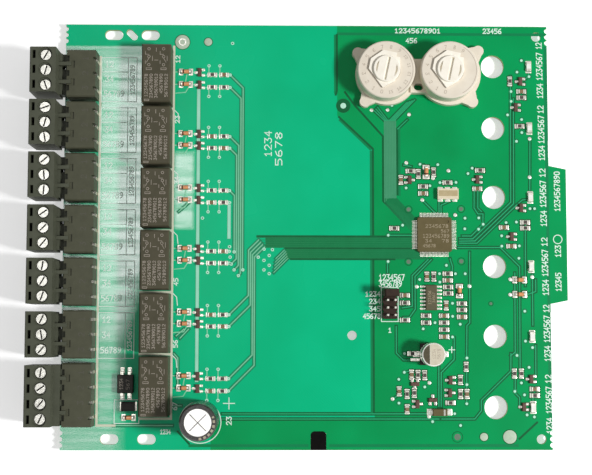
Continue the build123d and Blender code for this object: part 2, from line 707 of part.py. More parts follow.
def make_dial(x):
    """A rotor with its arrow plate, screwdriver slot and two side cuts."""
    plate_z = DRUM_H + ARROW_LIFT
    plate_top = plate_z + ARROW_T
    top = plate_top + BOSS_T
    tail = ARROW_TAIL_W / 2
    step = ARROW_TAIL_R - ARROW_NOTCH
    cheek = DIAL_R * ARROW_CHEEK
    wide = DIAL_R + ARROW_NOTCH
    outline = [
        (0, -ARROW_TIP_R), (cheek, -cheek), (DIAL_R, 0), (tail, step), (tail - ARROW_NOTCH, step),
        (tail - ARROW_NOTCH, ARROW_TAIL_R), (-tail + ARROW_NOTCH, ARROW_TAIL_R),
        (-wide, DIAL_R / 2), (-wide, -DIAL_R / 4),
    ]
    arrow = plan_profile(outline, plate_z, plate_top)
    boss = post(0, 0, DIAL_R - DIAL_GAP, plate_top, top)
    boss = chamfer(boss.edges().sort_by(Axis.Z)[-1], DIAL_GAP * 2)
    rotor = arrow + boss + post(0, 0, DIAL_R, DIAL_SEAT_Z + ARROW_LIFT, plate_z)
    low = top - DIAL_CUT_DEPTH
    cuts = [block_at(0, 0, BLADE_SLOT_W, BLADE_SLOT_L, low, top)]
    ring = post(0, 0, CRESCENT_R, low, top) - post(0, 0, CRESCENT_R - CRESCENT_W, low, top)
    reach = CRESCENT_R * cos(radians(CRESCENT_SPAN / 2))
    crescent = ring & block(reach, 2 * CRESCENT_R, -CRESCENT_R, CRESCENT_R, low, top)
    cuts += [Rot(0, 0, side) * crescent for side in (0, 180)]
    return Pos(x, SWITCH_Y, 0) * Rot(0, 0, ARROW_TURN) * cut_all(rotor, cuts)


def make_switch_contacts(x):
    """The contact plate under one rotor, with the six pins that hold the switch."""
    plate = post(x, SWITCH_Y, SWITCH_BASE_R - PART_GAP, 0, CONTACT_T)
    for pin_x, pin_y in switch_pin_places():
        if abs(pin_x - x) < SWITCH_BASE_R:
            plate += square_pin(pin_x, pin_y, PIN_SIDE, FLOOR_Z, 0)
    return plate


# Chips with gull-wing leads
def gull_lead(inner, outer, width, body_mid):
    """One bent lead along +x, from the body at inner to its foot's end at outer."""
    knee = outer - FOOT_L
    points = [
        (inner, body_mid), (inner, body_mid + LEAD_T), (knee, body_mid + LEAD_T), (knee + LEAD_T, LEAD_T),
        (outer, LEAD_T), (outer, 0), (knee, 0), (knee - LEAD_T, body_mid),
    ]
    return side_profile(points, -width / 2, width / 2)


def chip_body(x, y, length, width, height, edge):
    """A moulded chip body with a bevelled top edge."""
    body = block_at(x, y, length, width, CHIP_STAND, height)
    return chamfer(body.faces().sort_by(Axis.Z)[-1].edges(), edge)


def make_microcontroller():
    """The square chip, with cut corners and a round mark."""
    x, y = MCU_AT
    body = block_at(x, y, MCU_BODY, MCU_BODY, CHIP_STAND, MCU_H)
    body = chamfer(body.edges().filter_by(Axis.Z), MCU_CORNER)
    body = chamfer(body.faces().sort_by(Axis.Z)[-1].edges(), CHIP_EDGE)
    offset = MCU_BODY / 2 - 3 * MCU_CORNER
    return body - post(x + offset, y + offset, MCU_CORNER, MCU_H - 2 * CHIP_STAND, MCU_H)


def make_microcontroller_leads():
    """Twenty leads on each of four sides."""
    inner, outer = MCU_BODY / 2, MCU_SPAN / 2
    lead = gull_lead(inner, outer, MCU_LEAD_W, MCU_H / 2)
    leads = []
    for turn in (0, 90, 180, 270):
        for index in range(MCU_LEADS):
            along = (index - (MCU_LEADS - 1) / 2) * MCU_PITCH
            leads.append(Pos(*MCU_AT, 0) * Rot(0, 0, turn) * Pos(0, along, 0) * lead)
    return leads


def make_amplifier_leads():
    """Seven leads on each long side."""
    lead = gull_lead(AMP_W / 2, AMP_SPAN / 2, AMP_LEAD_W, AMP_H / 2)
    leads = []
    for turn in (0, 180):
        for index in range(AMP_LEADS):
            along = (index - (AMP_LEADS - 1) / 2) * AMP_PITCH
            leads.append(Pos(*AMP_AT, 0) * Rot(0, 0, turn) * Pos(0, along, 0) * lead)
    return leads


# Resonator
def make_resonator():
    """A ceramic block with three metal bands, each in a shallow groove."""
    x, y = RESONATOR_AT
    body = block_at(x, y, RESONATOR_X, RESONATOR_Y, 0, RESONATOR_H)
    cuts = []
    for index in (-1, 0, 1):
        band_x = x + index * RESONATOR_PITCH
        for side in (-1, 1):
            edge = y + side * RESONATOR_Y / 2
            cuts.append(block_at(band_x, edge, RESONATOR_END_W, 2 * RESONATOR_END_T, 0, RESONATOR_H))
    return cut_all(body, cuts)


def make_resonator_ends():
    """The metal bands in the resonator's grooves."""
    x, y = RESONATOR_AT
    ends = []
    for index in (-1, 0, 1):
        band_x = x + index * RESONATOR_PITCH
        for side in (-1, 1):
            edge = y + side * (RESONATOR_Y - RESONATOR_END_T) / 2
            ends.append(block_at(band_x, edge, RESONATOR_END_W, RESONATOR_END_T, 0, RESONATOR_H))
    return ends


# Jumper block
def make_jumper_header():
    """The pin block: one cell for each pair of pins, with cut corners."""
    half_x = (JUMPER_XS[1] - JUMPER_XS[0] + JUMPER_PITCH) / 2
    middle = sum(JUMPER_XS) / 2
    cut = JUMPER_BASE_CUT
    half_y = JUMPER_PITCH / 2
    left = middle - half_x
    right = middle + half_x
    body = None
    for y in JUMPER_YS:
        low = y - half_y
        high = y + half_y
        outline = [
            (left, low + cut), (left + cut, low), (right - cut, low), (right, low + cut),
            (right, high - cut), (right - cut, high), (left + cut, high), (left, high - cut),
        ]
        cell = plan_profile(outline, 0, JUMPER_BASE_H)
        body = cell if body is None else body + cell
    return cut_all(body, [square_pin(x, y, PIN_SIDE, 0, JUMPER_BASE_H) for x, y in jumper_pin_places()])


def make_jumper_cap():
    """The push-on cap with a hollow for each of two pins and a pull ridge on top."""
    middle = sum(JUMPER_XS) / 2
    top = CAP_BASE_Z + CAP_H
    body = block_at(middle, JUMPER_TOP_Y, CAP_W, CAP_D, CAP_BASE_Z, top)
    body = chamfer(body.edges().filter_by(Axis.Y).group_by(Axis.Z)[-1], CAP_WALL)
    room_x = CAP_W - 2 * CAP_WALL
    room_y = CAP_D - 2 * CAP_WALL
    return body - block_at(middle, JUMPER_TOP_Y, room_x, room_y, CAP_BASE_Z, top - CAP_ROOF)


def make_jumper_clip():
    """The spring strip in the cap: two arches that hug the pins, joined by a strip over them."""
    top = CAP_BASE_Z + CAP_H - CAP_ROOF
    near = PIN_SIDE / 2 + CLIP_GAP
    middle = sum(JUMPER_XS) / 2
    length = CAP_W - 2 * CAP_WALL - 2 * CLIP_GAP
    width = CAP_D - 2 * CAP_WALL - CLIP_GAP
    clip = block_at(middle, JUMPER_TOP_Y, length, width, top - CLIP_T, top)
    for x in JUMPER_XS:
        for side in (-1, 1):
            leaf_x = x + side * (near + CLIP_T / 2)
            clip += block_at(leaf_x, JUMPER_TOP_Y, CLIP_T, width, CAP_BASE_Z + CAP_WALL, top)
    return clip


# Parts with a metal end on each side
def chip_pieces(x, y, way, length, width, height, end):
    """The body and both ends of a small part that lies along x or y."""
    turn = 0 if way == "x" else 90
    place = Pos(x, y, 0) * Rot(0, 0, turn)
    core = place * block_at(0, 0, length - 2 * end, width, END_GROW, height)
    end_x = (length - end) / 2
    end_width = width + 2 * END_GROW
    ends = [place * block_at(side * end_x, 0, end, end_width, 0, height + END_GROW) for side in (-1, 1)]
    return core, ends


def diode_pieces(x, y, way):
    """The glass body and both metal ends of a round diode."""
    place = Pos(x, y, MELF_R + MELF_END_GROW) * Rot(0, 0, 0 if way == "x" else 90) * Rot(0, 90, 0)
    glass = place * Cylinder(MELF_R, MELF_L - 2 * MELF_END_L)
    end = Cylinder(MELF_R + MELF_END_GROW, MELF_END_L)
    end_z = (MELF_L - MELF_END_L) / 2
    return glass, [place * Pos(0, 0, side * end_z) * end for side in (-1, 1)]


def transistor_pieces(x, y, turn):
    """A three-lead transistor: its body and its leads."""
    place = Pos(x, y, 0) * Rot(0, 0, turn)
    body = place * chip_body(0, 0, SOT_W, SOT_L, SOT_H, CHIP_EDGE)
    leads = []
    for side, offset in ((0, 0), (180, SOT_PITCH / 2), (180, -SOT_PITCH / 2)):
        outer = SOT_SPAN / 2
        points = [
            (SOT_W / 2, SOT_H / 2), (outer - LEAD_T, SOT_H / 2), (outer, 0),
            (outer - 2 * LEAD_T, 0), (SOT_W / 2, SOT_H / 2 - LEAD_T),
        ]
        lead = side_profile(points, offset - SOT_LEAD_W / 2, offset + SOT_LEAD_W / 2)
        leads.append(place * Rot(0, 0, side) * lead)
    return body, leads


def all_glass_diodes():
    """Every glass diode's place."""
    return [(DRIVER_DIODE_X, y, "x") for pair in DRIVER_ROW_YS for y in pair] + list(GLASS_DIODES)


def all_chips():
    """Every resistor's and ceramic capacitor's place."""
    rows = [(x, y - DRIVER_CHIP_DROP, "x") for pair in DRIVER_ROW_YS for y in pair for x in DRIVER_CHIP_XS]
    return rows + list(LOOSE_CHIPS)


def all_transistors():
    """Every transistor's place."""
    rows = [(DRIVER_SOT_X, y - DRIVER_SOT_DROP, 180) for pair in DRIVER_ROW_YS for y in pair]
    return rows + list(LOOSE_SOTS)


# Capacitors
def make_can():
    """The main capacitor's can on its rubber bung, with a cross scored in the top."""
    x, y = CAN_AT
    top = BUNG_H + CAN_H
    body = post(x, y, CAN_R, BUNG_H, top)
    body = fillet(body.edges().sort_by(Axis.Z)[-1], CAN_ROLL)
    body += post(x, y, BUNG_R, 0, BUNG_H)
    score = Box(VENT_L, VENT_W, VENT_DEPTH)
    return cut_all(body, [Pos(x, y, top - VENT_DEPTH / 2) * Rot(0, 0, turn) * score for turn in (45, 135)])


def make_sleeve():
    """The shrunk plastic sleeve round the can, turned in over its top edge."""
    low = BUNG_H
    high = BUNG_H + CAN_H
    outer = CAN_R + SLEEVE_T
    lip = CAN_R - SLEEVE_LIP
    outline = [
        (CAN_R, low), (outer, low), (outer, high - CAN_ROLL), (outer - CAN_ROLL, high + SLEEVE_T),
        (lip, high + SLEEVE_T), (lip, high), (CAN_R - CAN_ROLL, high), (CAN_R, high - CAN_ROLL),
    ]
    return turned(*CAN_AT, outline) - make_can()


def make_small_can():
    """The small can with the crimp groove near its foot."""
    low = SMALL_BASE_H
    high = SMALL_BASE_H + SMALL_CAN_H
    radius = SMALL_CAN_R
    waist = radius - SMALL_GROOVE
    groove_low = low + SMALL_GROOVE_Z
    groove_high = groove_low + SMALL_GROOVE_W
    outline = [
        (0, low), (radius, low), (radius, groove_low), (waist, groove_low + SMALL_GROOVE),
        (waist, groove_high), (radius, groove_high + SMALL_GROOVE),
        (radius, high - SMALL_GROOVE), (waist, high), (0, high),
    ]
    return turned(*SMALL_CAN_AT, outline)


def make_small_base():
    """The small can's plastic foot with two cut corners and a lead channel on each side."""
    x, y = SMALL_CAN_AT
    half = SMALL_BASE / 2
    cut = SMALL_BASE_CUT
    outline = [
        (x - half, y - half), (x + half - cut, y - half), (x + half, y - half + cut),
        (x + half, y + half - cut), (x + half - cut, y + half), (x - half, y + half),
    ]
    body = plan_profile(outline, 0, SMALL_BASE_H)
    return body - block_at(x, y, SMALL_BASE, SMALL_LEAD_W, 0, SMALL_LEAD_T)


def make_small_leads():
    """The small can's two flat leads under its foot."""
    x, y = SMALL_CAN_AT
    inner = SMALL_BASE / 4
    outer = SMALL_BASE / 2 + SMALL_LEAD_OUT
    middle = (inner + outer) / 2
    lead = block_at(0, 0, outer - inner, SMALL_LEAD_W, 0, SMALL_LEAD_T)
    return [Pos(x + side * middle, y, 0) * lead for side in (-1, 1)]


# Rectifier, power diode and choke
def make_bridge_leads():
    """Four leads, two on each end."""
    x, y = BRIDGE_AT
    leads = []
    for turn in (90, 270):
        for offset in BRIDGE_LEAD_XS:
            lead = gull_lead(BRIDGE_Y / 2, BRIDGE_SPAN / 2, BRIDGE_LEAD_W, BRIDGE_H / 2)
            leads.append(Pos(x, y, 0) * Rot(0, 0, turn) * Pos(0, offset, 0) * lead)
    return leads


def make_power_diode_leads():
    """One flat lead on each end."""
    leads = []
    for turn in (0, 180):
        lead = gull_lead(POWER_DIODE_X / 2, POWER_DIODE_SPAN / 2, POWER_DIODE_LEAD_W, POWER_DIODE_H / 2)
        leads.append(Pos(*POWER_DIODE_AT, 0) * Rot(0, 0, turn) * lead)
    return leads


def make_choke():
    """A small block with a waist between its two flanges."""
    x, y = CHOKE_AT
    body = block_at(x, y, CHOKE_X, CHOKE_Y, 0, CHOKE_H)
    waist = CHOKE_X - 2 * CHOKE_END
    groove = block_at(x, y, waist, 2 * CHOKE_END, CHOKE_END, CHOKE_H)
    return cut_all(body, [Pos(0, side * CHOKE_Y / 2, 0) * groove for side in (-1, 1)])


# Write every node
save("circuit_board", make_board())
save("edge_insert", notch(INSERT_GAP))
for number, ((middle_y, pole_count), turns) in enumerate(zip(BLOCKS, SCREW_TURNS), start=1):
    save(f"terminal_header_{number}", make_header(middle_y, pole_count))
    save(f"terminal_plug_{number}", make_plug(middle_y, pole_count))
    save(f"plug_clamps_{number}", make_clamps(middle_y, pole_count, turns))
save("header_pins", [make_header_pin(y) for block_row in BLOCKS for y in pole_ys(*block_row)])

for number, relay_y in enumerate(RELAY_YS, start=1):
    save(f"relay_{number}", make_relay(relay_y))
save("relay_pins", [square_pin(x, y, PIN_SIDE, FLOOR_Z, RELAY_FOOT) for x, y in relay_pin_places()])

save("switch_housing", make_switch_housing())
save("tens_dial", make_dial(SWITCH_XS[0]))
save("units_dial", make_dial(SWITCH_XS[1]))
save("switch_contacts", [make_switch_contacts(x) for x in SWITCH_XS])

save("microcontroller", make_microcontroller())
save("microcontroller_leads", make_microcontroller_leads())
save("amplifier_chip", chip_body(*AMP_AT, AMP_W, AMP_L, AMP_H, CHIP_EDGE))
save("amplifier_leads", make_amplifier_leads())

save("resonator", make_resonator())
save("jumper_header", make_jumper_header())
save("jumper_pins", [square_pin(x, y, PIN_SIDE, FLOOR_Z, JUMPER_PIN_TOP) for x, y in jumper_pin_places()])
save("jumper_cap", make_jumper_cap())
save("jumper_clip", make_jumper_clip())

diodes = [diode_pieces(*place) for place in all_glass_diodes()]
chips = [chip_pieces(*place, CHIP_L, CHIP_W, CHIP_H, CHIP_END) for place in all_chips()]
lamps = [chip_pieces(LAMP_X, y, "y", LAMP_L, LAMP_W, LAMP_H, LAMP_END) for y in WINDOW_YS]
sots = [transistor_pieces(*place) for place in all_transistors()]
save("glass_diodes", [body for body, ends in diodes])
save("chip_components", [body for body, ends in chips])
save("indicator_leds", [body for body, ends in lamps])
small_ends = [end for body, ends in diodes + chips + lamps for end in ends]
save("component_ends", small_ends + make_resonator_ends())
save("transistors", [body for body, leads in sots])
save("transistor_leads", [lead for body, leads in sots for lead in leads])

save("main_capacitor", make_can())
save("main_capacitor_sleeve", make_sleeve())
save("small_capacitor", make_small_can())
save("small_capacitor_base", make_small_base())
can_leads = [post(x, y, CAN_LEAD_R, FLOOR_Z, 0) for x, y in can_lead_places()]
save("capacitor_leads", can_leads + make_small_leads())

save("bridge_rectifier", chip_body(*BRIDGE_AT, BRIDGE_X, BRIDGE_Y, BRIDGE_H, CHIP_EDGE))
save("power_diode", chip_body(*POWER_DIODE_AT, POWER_DIODE_X, POWER_DIODE_Y, POWER_DIODE_H, CHIP_EDGE))
save("power_leads", make_bridge_leads() + make_power_diode_leads())
save("line_choke", make_choke())
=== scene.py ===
"""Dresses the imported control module: finishes, tracks, solder, marks, stage and camera.

Places are in millimetres from the middle of the circuit board, on its top face, and become
metres of the frame when a mesh is made.
"""

import math

import bpy
import numpy as np
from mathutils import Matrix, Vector


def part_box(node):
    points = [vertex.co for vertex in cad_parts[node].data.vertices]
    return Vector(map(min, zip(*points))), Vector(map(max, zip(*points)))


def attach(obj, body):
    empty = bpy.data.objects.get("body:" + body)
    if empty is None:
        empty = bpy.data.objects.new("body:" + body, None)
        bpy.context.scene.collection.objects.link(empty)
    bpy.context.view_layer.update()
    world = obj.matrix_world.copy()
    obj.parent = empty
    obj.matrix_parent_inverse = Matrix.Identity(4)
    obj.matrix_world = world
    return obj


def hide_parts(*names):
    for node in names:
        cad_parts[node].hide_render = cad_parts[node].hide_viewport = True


bl_info = {
    "name": "Control Module Dresser",
    "version": (1, 0, 0),
    "blender": (4, 5, 0),
    "location": "View3D > Sidebar > Control Module",
    "description": "Gives a packed control module its finishes, tracks, solder, marks, stage and camera",
    "category": "Object",
}

MM = 0.001

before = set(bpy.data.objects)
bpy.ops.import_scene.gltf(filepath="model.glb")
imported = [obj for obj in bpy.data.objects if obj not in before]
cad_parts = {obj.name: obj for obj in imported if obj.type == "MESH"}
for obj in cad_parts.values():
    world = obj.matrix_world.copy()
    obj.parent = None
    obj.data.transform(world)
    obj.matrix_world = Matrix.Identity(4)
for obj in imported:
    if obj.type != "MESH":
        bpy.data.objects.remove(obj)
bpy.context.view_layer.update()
BOARD_LOW, BOARD_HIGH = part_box("circuit_board")
BOARD_HALF_X = 84.2
BOARD_T = (BOARD_HIGH.z - BOARD_LOW.z) / MM
ORIGIN = np.array([BOARD_LOW.x + BOARD_HALF_X * MM, (BOARD_LOW.y + BOARD_HIGH.y) / 2, BOARD_HIGH.z])

# Heights over the mask, in millimetres: every printed or plated layer starts just inside the board
SUNK = -0.02
SIGNAL_GAP_TOP = 0.01
GAP_TOP = 0.012
SLOPE_TOP = 0.013
BAND_TOP = 0.014
RIM_TOP = 0.016
BORDER_TOP = 0.018
SPOT_TOP = 0.02
COLUMN_TOP = 0.022
SUPPLY_TOP = 0.026
TRACK_TOP = 0.03
LAND_TOP = 0.04
PAD_TOP = 0.05
INK_TOP = 0.06
# Each point of a strip and each strip of a group lies this much higher than the last, in a short
# cycle, so that no two tops share one height where strips cross
LAYER_STEP = 0.0002
POINT_LAYERS = 12
STRIP_LAYERS = 6

# Rows beside the relays: the upper and lower y of each of the six driver groups
DRIVER_ROWS = ((57.0, 52.6), (35.3, 31.2), (16.4, 12.2), (-4.7, -8.8), (-26.6, -30.6), (-48.4, -52.6))
DRIVER_DIODE_X = -42.3
DRIVER_SOT_X = -37.5
DRIVER_CHIP_XS = (-33.1, -29.0)
DRIVER_VIA_X = -26.9
# Tracks leave the chips of a row this far below the row's middle, with short stubs at two places
CHIP_DROP = 1.0
STUB_XS = (-34.3, -30.5)
RELAY_X = -51.7
RELAY_YS = tuple(54.5 - 21.25 * row for row in range(6))
RELAY_TOP = 10.0
RELAY_PIN_X = 3.81
RELAY_PIN_YS = (8.89, 1.27, -3.81, -8.89)
HEADER_YS = (54.6, 36.82, 19.04, 1.26, -16.52, -34.3, -54.62)
HEADER_POLES = (3, 3, 3, 3, 3, 3, 4)
HEADER_LEG_X = -72.95
HEADER_TOP = 8.6
POLE_PITCH = 5.08
WINDOW_YS = (59.3, 37.5, 13.3, -10.8, -34.9, -59.2)
LAMP_X = 77.6
SWITCH_XS = (26.9, 48.7)
SWITCH_Y = 56.2
SWITCH_PIN_XS = (-2.54, 0.0, 2.54)
SWITCH_PIN_Y = 3.81
DRUM_TOP = 9.5
# Numerals on each drum, where the first stands and the step, in degrees
DRUM_COUNTS = (16, 10)
DRUM_START = -102
DRUM_STEP = 22.5
MCU_AT = (44.0, 0.2)
MCU_TOP = 1.4
AMP_AT = (42.75, -21.6)
AMP_TOP = 1.5
RESONATOR_AT = (48.8, 14.3)
RESONATOR_TOP = 1.8
CAN_AT = (-36.0, -62.8)
CAN_TOP = 20.9
CAN_PIN_X = 2.5
SLEEVE_R = 6.1
LIP_TOP = 21.05
LIP_R = 5.25
SMALL_CAN_AT = (42.5, -41.0)
SMALL_CAN_TOP = 8.8
SMALL_CAN_R = 3.62
POWER_DIODE_AT = (45.4, -60.8)
POWER_DIODE_TOP = 2.1
RECTIFIER_AT = (-61.9, -51.1)
RECTIFIER_TOP = 2.6
CHOKE_AT = (-61.0, -58.8)
SCREW_X = -88.5
SLOT_FLOOR = 13.1
# How far each clamp screw was turned, in degrees, from the top pole down
SCREW_TURNS = ((60, 75, 110), (20, 75, 100), (40, 95, 85), (35, 45, 50), (80, 60, 70), (65, 100, 50),
               (80, 35, 50, 65))
JUMPER_XS = (27.2, 29.74)
JUMPER_YS = tuple(-20.05 - 2.54 * row for row in range(4))
CHIP_L, CHIP_W, CHIP_H, CHIP_END = 2.0, 1.25, 0.55, 0.35
MELF_L, MELF_R, MELF_END = 3.4, 0.77, 0.5
SOT_SPAN, SOT_PITCH = 2.5, 1.9
LAMP_L, LAMP_W, LAMP_END = 3.0, 1.6, 0.7
MCU_LEADS, MCU_PITCH = 20, 0.5
AMP_LEADS, AMP_PITCH = 7, 1.27

# Widths of the strips that aren't a setting
ROW_BAND_WIDTH = 3.8
SLOPE_BAND_WIDTH = 4.0
BUNDLE_WIDTH = 4.3
MARGIN_WIDTH = 1.0
BORDER_WIDTH = 0.7
FINE_WIDTH = 0.2
ROW_WIDTH = 0.22
COLUMN_WIDTH = 0.6
SUPPLY_WIDTH = 1.1
# The gap beside a signal track is this much wider than the others
SIGNAL_GAP_MORE = 0.1
OUTLINE_WIDTH = 0.8
NUMERAL_WIDTH = 0.32


# Shapes
def ribbon(path, width, low, high, layer=0):
    """A flat closed strip carried along a path. Each section stands half the width out on both
    sides of the path, along the mean of the two neighbouring normals over its cosine. Its top
    rises by one layer step from each point to the next."""
    points = np.asarray(path, float)
    step = np.diff(points, axis=0)
    step /= np.linalg.norm(step, axis=1)[:, None]
    normal = np.stack([-step[:, 1], step[:, 0]], axis=1)
    mitre = np.concatenate([normal[:1], normal[:-1] + normal[1:], normal[-1:]])
    mitre /= np.linalg.norm(mitre, axis=1)[:, None]
    cosine = np.ones(len(points))
    cosine[1:-1] = np.clip((mitre[1:-1] * normal[1:]).sum(1), 0.5, 1)
    half = width / 2
    points = points.copy()
    points[0] -= step[0] * half
    points[-1] += step[-1] * half
    out = mitre * (half / cosine)[:, None]
    left, right = points + out, points - out
    count = len(points)
    rings = np.empty((count, 4, 3))
    rings[:, 0, :2], rings[:, 1, :2] = left, left
    rings[:, 2, :2], rings[:, 3, :2] = right, right
    rings[:, (0, 3), 2] = low
    rings[:, (1, 2), 2] = high + LAYER_STEP * (np.arange(count) % POINT_LAYERS + layer)[:, None]
    base = (np.arange(count - 1) * 4)[:, None]
    around = np.arange(4)[None, :]
    after = (around + 1) % 4
    quads = np.stack([base + around, base + after, base + 4 + after, base + 4 + around], axis=2)
    last = (count - 1) * 4
    caps = np.array([[3, 2, 1, 0], [last, last + 1, last + 2, last + 3]])
    return rings.reshape(-1, 3), [quads.reshape(-1, 4), caps]


def loft(rings, places, turns=None):
    """A closed form through stacked rings, ring number by point number, put at every place. Each
    copy is turned about its own upright axis; the first and last rings are closed by flat caps."""
    rings = np.asarray(rings, float)
    levels, around, _ = rings.shape
    places = np.asarray(places, float).reshape(-1, 3)
    angles = np.radians(np.zeros(len(places)) if turns is None else np.asarray(turns, float))
    flat = rings.reshape(-1, 3)
    cosine, sine = np.cos(angles)[:, None], np.sin(angles)[:, None]
    verts = np.empty((len(places), len(flat), 3))
    verts[:, :, 0] = flat[:, 0] * cosine - flat[:, 1] * sine + places[:, :1]
    verts[:, :, 1] = flat[:, 0] * sine + flat[:, 1] * cosine + places[:, 1:2]
    verts[:, :, 2] = flat[:, 2] + places[:, 2:3]
    level = (np.arange(levels - 1) * around)[:, None]
    point = np.arange(around)[None, :]
    after = (point + 1) % around
    quads = np.stack([level + point, level + after, level + around + after, level + around + point], axis=2)
    quads = quads.reshape(-1, 4)
    caps = np.stack([np.arange(around)[::-1], (levels - 1) * around + np.arange(around)])
    offset = (np.arange(len(places)) * len(flat))[:, None, None]
    faces = [(quads[None] + offset).reshape(-1, 4), (caps[None] + offset).reshape(-1, around)]
    return verts.reshape(-1, 3), faces


def turned(outline, places, sides):
    """A closed ring: the outline's radius and height turned about an upright axis, angle by point."""
    outline = np.asarray(outline, float)
    places = np.asarray(places, float).reshape(-1, 3)
    angle = np.arange(sides) * 2 * np.pi / sides
    around = np.stack([np.cos(angle), np.sin(angle)], axis=1)
    grid = np.empty((sides, len(outline), 3))
    grid[:, :, :2] = around[:, None, :] * outline[None, :, :1]
    grid[:, :, 2] = outline[None, :, 1]
    verts = (grid.reshape(1, -1, 3) + places[:, None, :]).reshape(-1, 3)
    steps = len(outline)
    turn = np.arange(sides)[:, None]
    point = np.arange(steps)[None, :]
    near, far = turn * steps, ((turn + 1) % sides) * steps
    after = (point + 1) % steps
    quads = np.stack([near + point, far + point, far + after, near + after], axis=2).reshape(-1, 4)
    offset = (np.arange(len(places)) * sides * steps)[:, None, None]
    return verts, [(quads[None] + offset).reshape(-1, 4)]


def round_rings(profile, sides):
    """Round rings for a loft: each has its radius and height from the profile."""
    angle = np.arange(sides) * 2 * np.pi / sides
    return [np.stack([r * np.cos(angle), r * np.sin(angle), np.full(sides, z)], axis=1) for r, z in profile]


def square_rings(sections, corner_points=2):
    """Rounded rectangles for a loft: each section has half length, half width, corner radius, height."""
    angle = np.linspace(0, np.pi / 2, corner_points)
    rings = []
    for half_x, half_y, radius, z in sections:
        parts = []
        for quarter, (sx, sy) in enumerate(((1, 1), (-1, 1), (-1, -1), (1, -1))):
            turn = angle + quarter * np.pi / 2
            x = sx * (half_x - radius) + radius * np.cos(turn)
            y = sy * (half_y - radius) + radius * np.sin(turn)
            parts.append(np.stack([x, y, np.full(corner_points, z)], axis=1))
        rings.append(np.concatenate(parts))
    return rings


def lying_rings(profile, sides=20):
    """Rings for a loft that lies along x: each has its place and radius from the profile."""
    angle = np.arange(sides) * 2 * np.pi / sides
    return [np.stack([np.full(sides, along), radius * np.cos(angle), MELF_R + radius * np.sin(angle)], axis=1)
            for along, radius in profile]


def joined(parts):
    """One mesh from many: vertices in a row, faces with their numbers moved on."""
    verts, faces, count = [], [], 0
    for points, groups in parts:
        verts.append(points)
        faces += [group + count for group in groups]
        count += len(points)
    return np.concatenate(verts), faces


def arc(x, y, radius, start, end, steps):
    """Points of a circle's arc, angles in degrees."""
    angle = np.radians(np.linspace(start, end, steps))
    return np.stack([x + radius * np.cos(angle), y + radius * np.sin(angle)], axis=1)


def plate(points, low, high):
    """A flat closed plate with an outline of any convex shape."""
    flat = np.asarray(points, float)
    rings = [np.column_stack([flat, np.full(len(flat), z)]) for z in (low, high)]
    return loft(rings, [(0, 0, 0)])


def curved_plate(middle, angle, levels, inner):
    """An upright curved plate: each level's radius and height round the angles, closed on the inner
    radius."""
    section = np.array([(inner, levels[0][1]), *levels, (inner, levels[-1][1])])
    rings = [np.stack([middle[0] + section[:, 0] * math.cos(a), middle[1] + section[:, 0] * math.sin(a),
                       section[:, 1]], axis=1) for a in angle]
    return loft(rings, [(0, 0, 0)])


# Each numeral is drawn with a few straight strokes in a cell 0.6 wide and 1 high
NUMERALS = {
    "0": (((0.15, 0), (0, 0.2), (0, 0.8), (0.15, 1), (0.45, 1), (0.6, 0.8), (0.6, 0.2), (0.45, 0),
           (0.15, 0)),),
    "1": (((0.1, 0.75), (0.32, 1), (0.32, 0)), ((0.1, 0), (0.52, 0))),
    "2": (((0, 0.8), (0.15, 1), (0.45, 1), (0.6, 0.8), (0.6, 0.6), (0, 0), (0.6, 0)),),
    "3": (((0, 1), (0.6, 1), (0.3, 0.6), (0.6, 0.4), (0.6, 0.15), (0.45, 0), (0.15, 0), (0, 0.15)),),
    "4": (((0.45, 0), (0.45, 1), (0, 0.35), (0.6, 0.35)),),
    "5": (((0.6, 1), (0, 1), (0, 0.6), (0.4, 0.6), (0.6, 0.4), (0.6, 0.2), (0.4, 0), (0, 0)),),
    "6": (((0.5, 1), (0.15, 0.8), (0, 0.5), (0, 0.15), (0.15, 0), (0.45, 0), (0.6, 0.2), (0.45, 0.5),
           (0, 0.45)),),
    "7": (((0, 1), (0.6, 1), (0.2, 0)),),
    "8": (((0.3, 0.55), (0, 0.75), (0.15, 1), (0.45, 1), (0.6, 0.75), (0, 0.3), (0.15, 0), (0.45, 0),
           (0.6, 0.3), (0.3, 0.55)),),
    "9": (((0.6, 0.55), (0.15, 0.5), (0, 0.8), (0.15, 1), (0.45, 1), (0.6, 0.8), (0.6, 0.5), (0.4, 0.15),
           (0.1, 0)),),
}
NUMERAL_STEP = 0.9


def numerals(text, x, y, height, turn=0.0):
    """The strokes of a number whose middle is at x, y, turned in degrees."""
    width = NUMERAL_STEP * len(text) - (NUMERAL_STEP - 0.6)
    cosine, sine = math.cos(math.radians(turn)), math.sin(math.radians(turn))
    paths = []
    for index, sign in enumerate(text):
        for stroke in NUMERALS[sign]:
            points = np.array(stroke) + (index * NUMERAL_STEP - width / 2, -0.5)
            points *= height
            paths.append(np.stack([x + points[:, 0] * cosine - points[:, 1] * sine,
                                   y + points[:, 0] * sine + points[:, 1] * cosine], axis=1))
    return paths


def label(count, start, end, height, first=1):
    """Plain numerals in counting order that fill the length from start to end, as narrow as needed."""
    length = math.dist(start, end)
    step = length / (count - 0.3)
    turn = math.atan2(end[1] - start[1], end[0] - start[0])
    cosine, sine = math.cos(turn), math.sin(turn)
    paths = []
    for index in range(count):
        for stroke in NUMERALS[str((first + index) % 10)]:
            points = np.array(stroke)
            along = index * step + points[:, 0] * step / NUMERAL_STEP
            up = (points[:, 1] - 0.5) * height
            paths.append(np.stack([start[0] + along * cosine - up * sine,
                                   start[1] + along * sine + up * cosine], axis=1))
    return paths


def labels(rows, y=0.0):
    """Every label of a table, moved up by y."""
    paths = []
    for count, start, end, height, first in rows:
        paths += label(count, (start[0], start[1] + y), (end[0], end[1] + y), height, first)
    return paths


def counting(length, first=1):
    """Plain numerals in counting order, as many as a label has room for."""
    return "".join(str((first + step) % 10) for step in range(length))


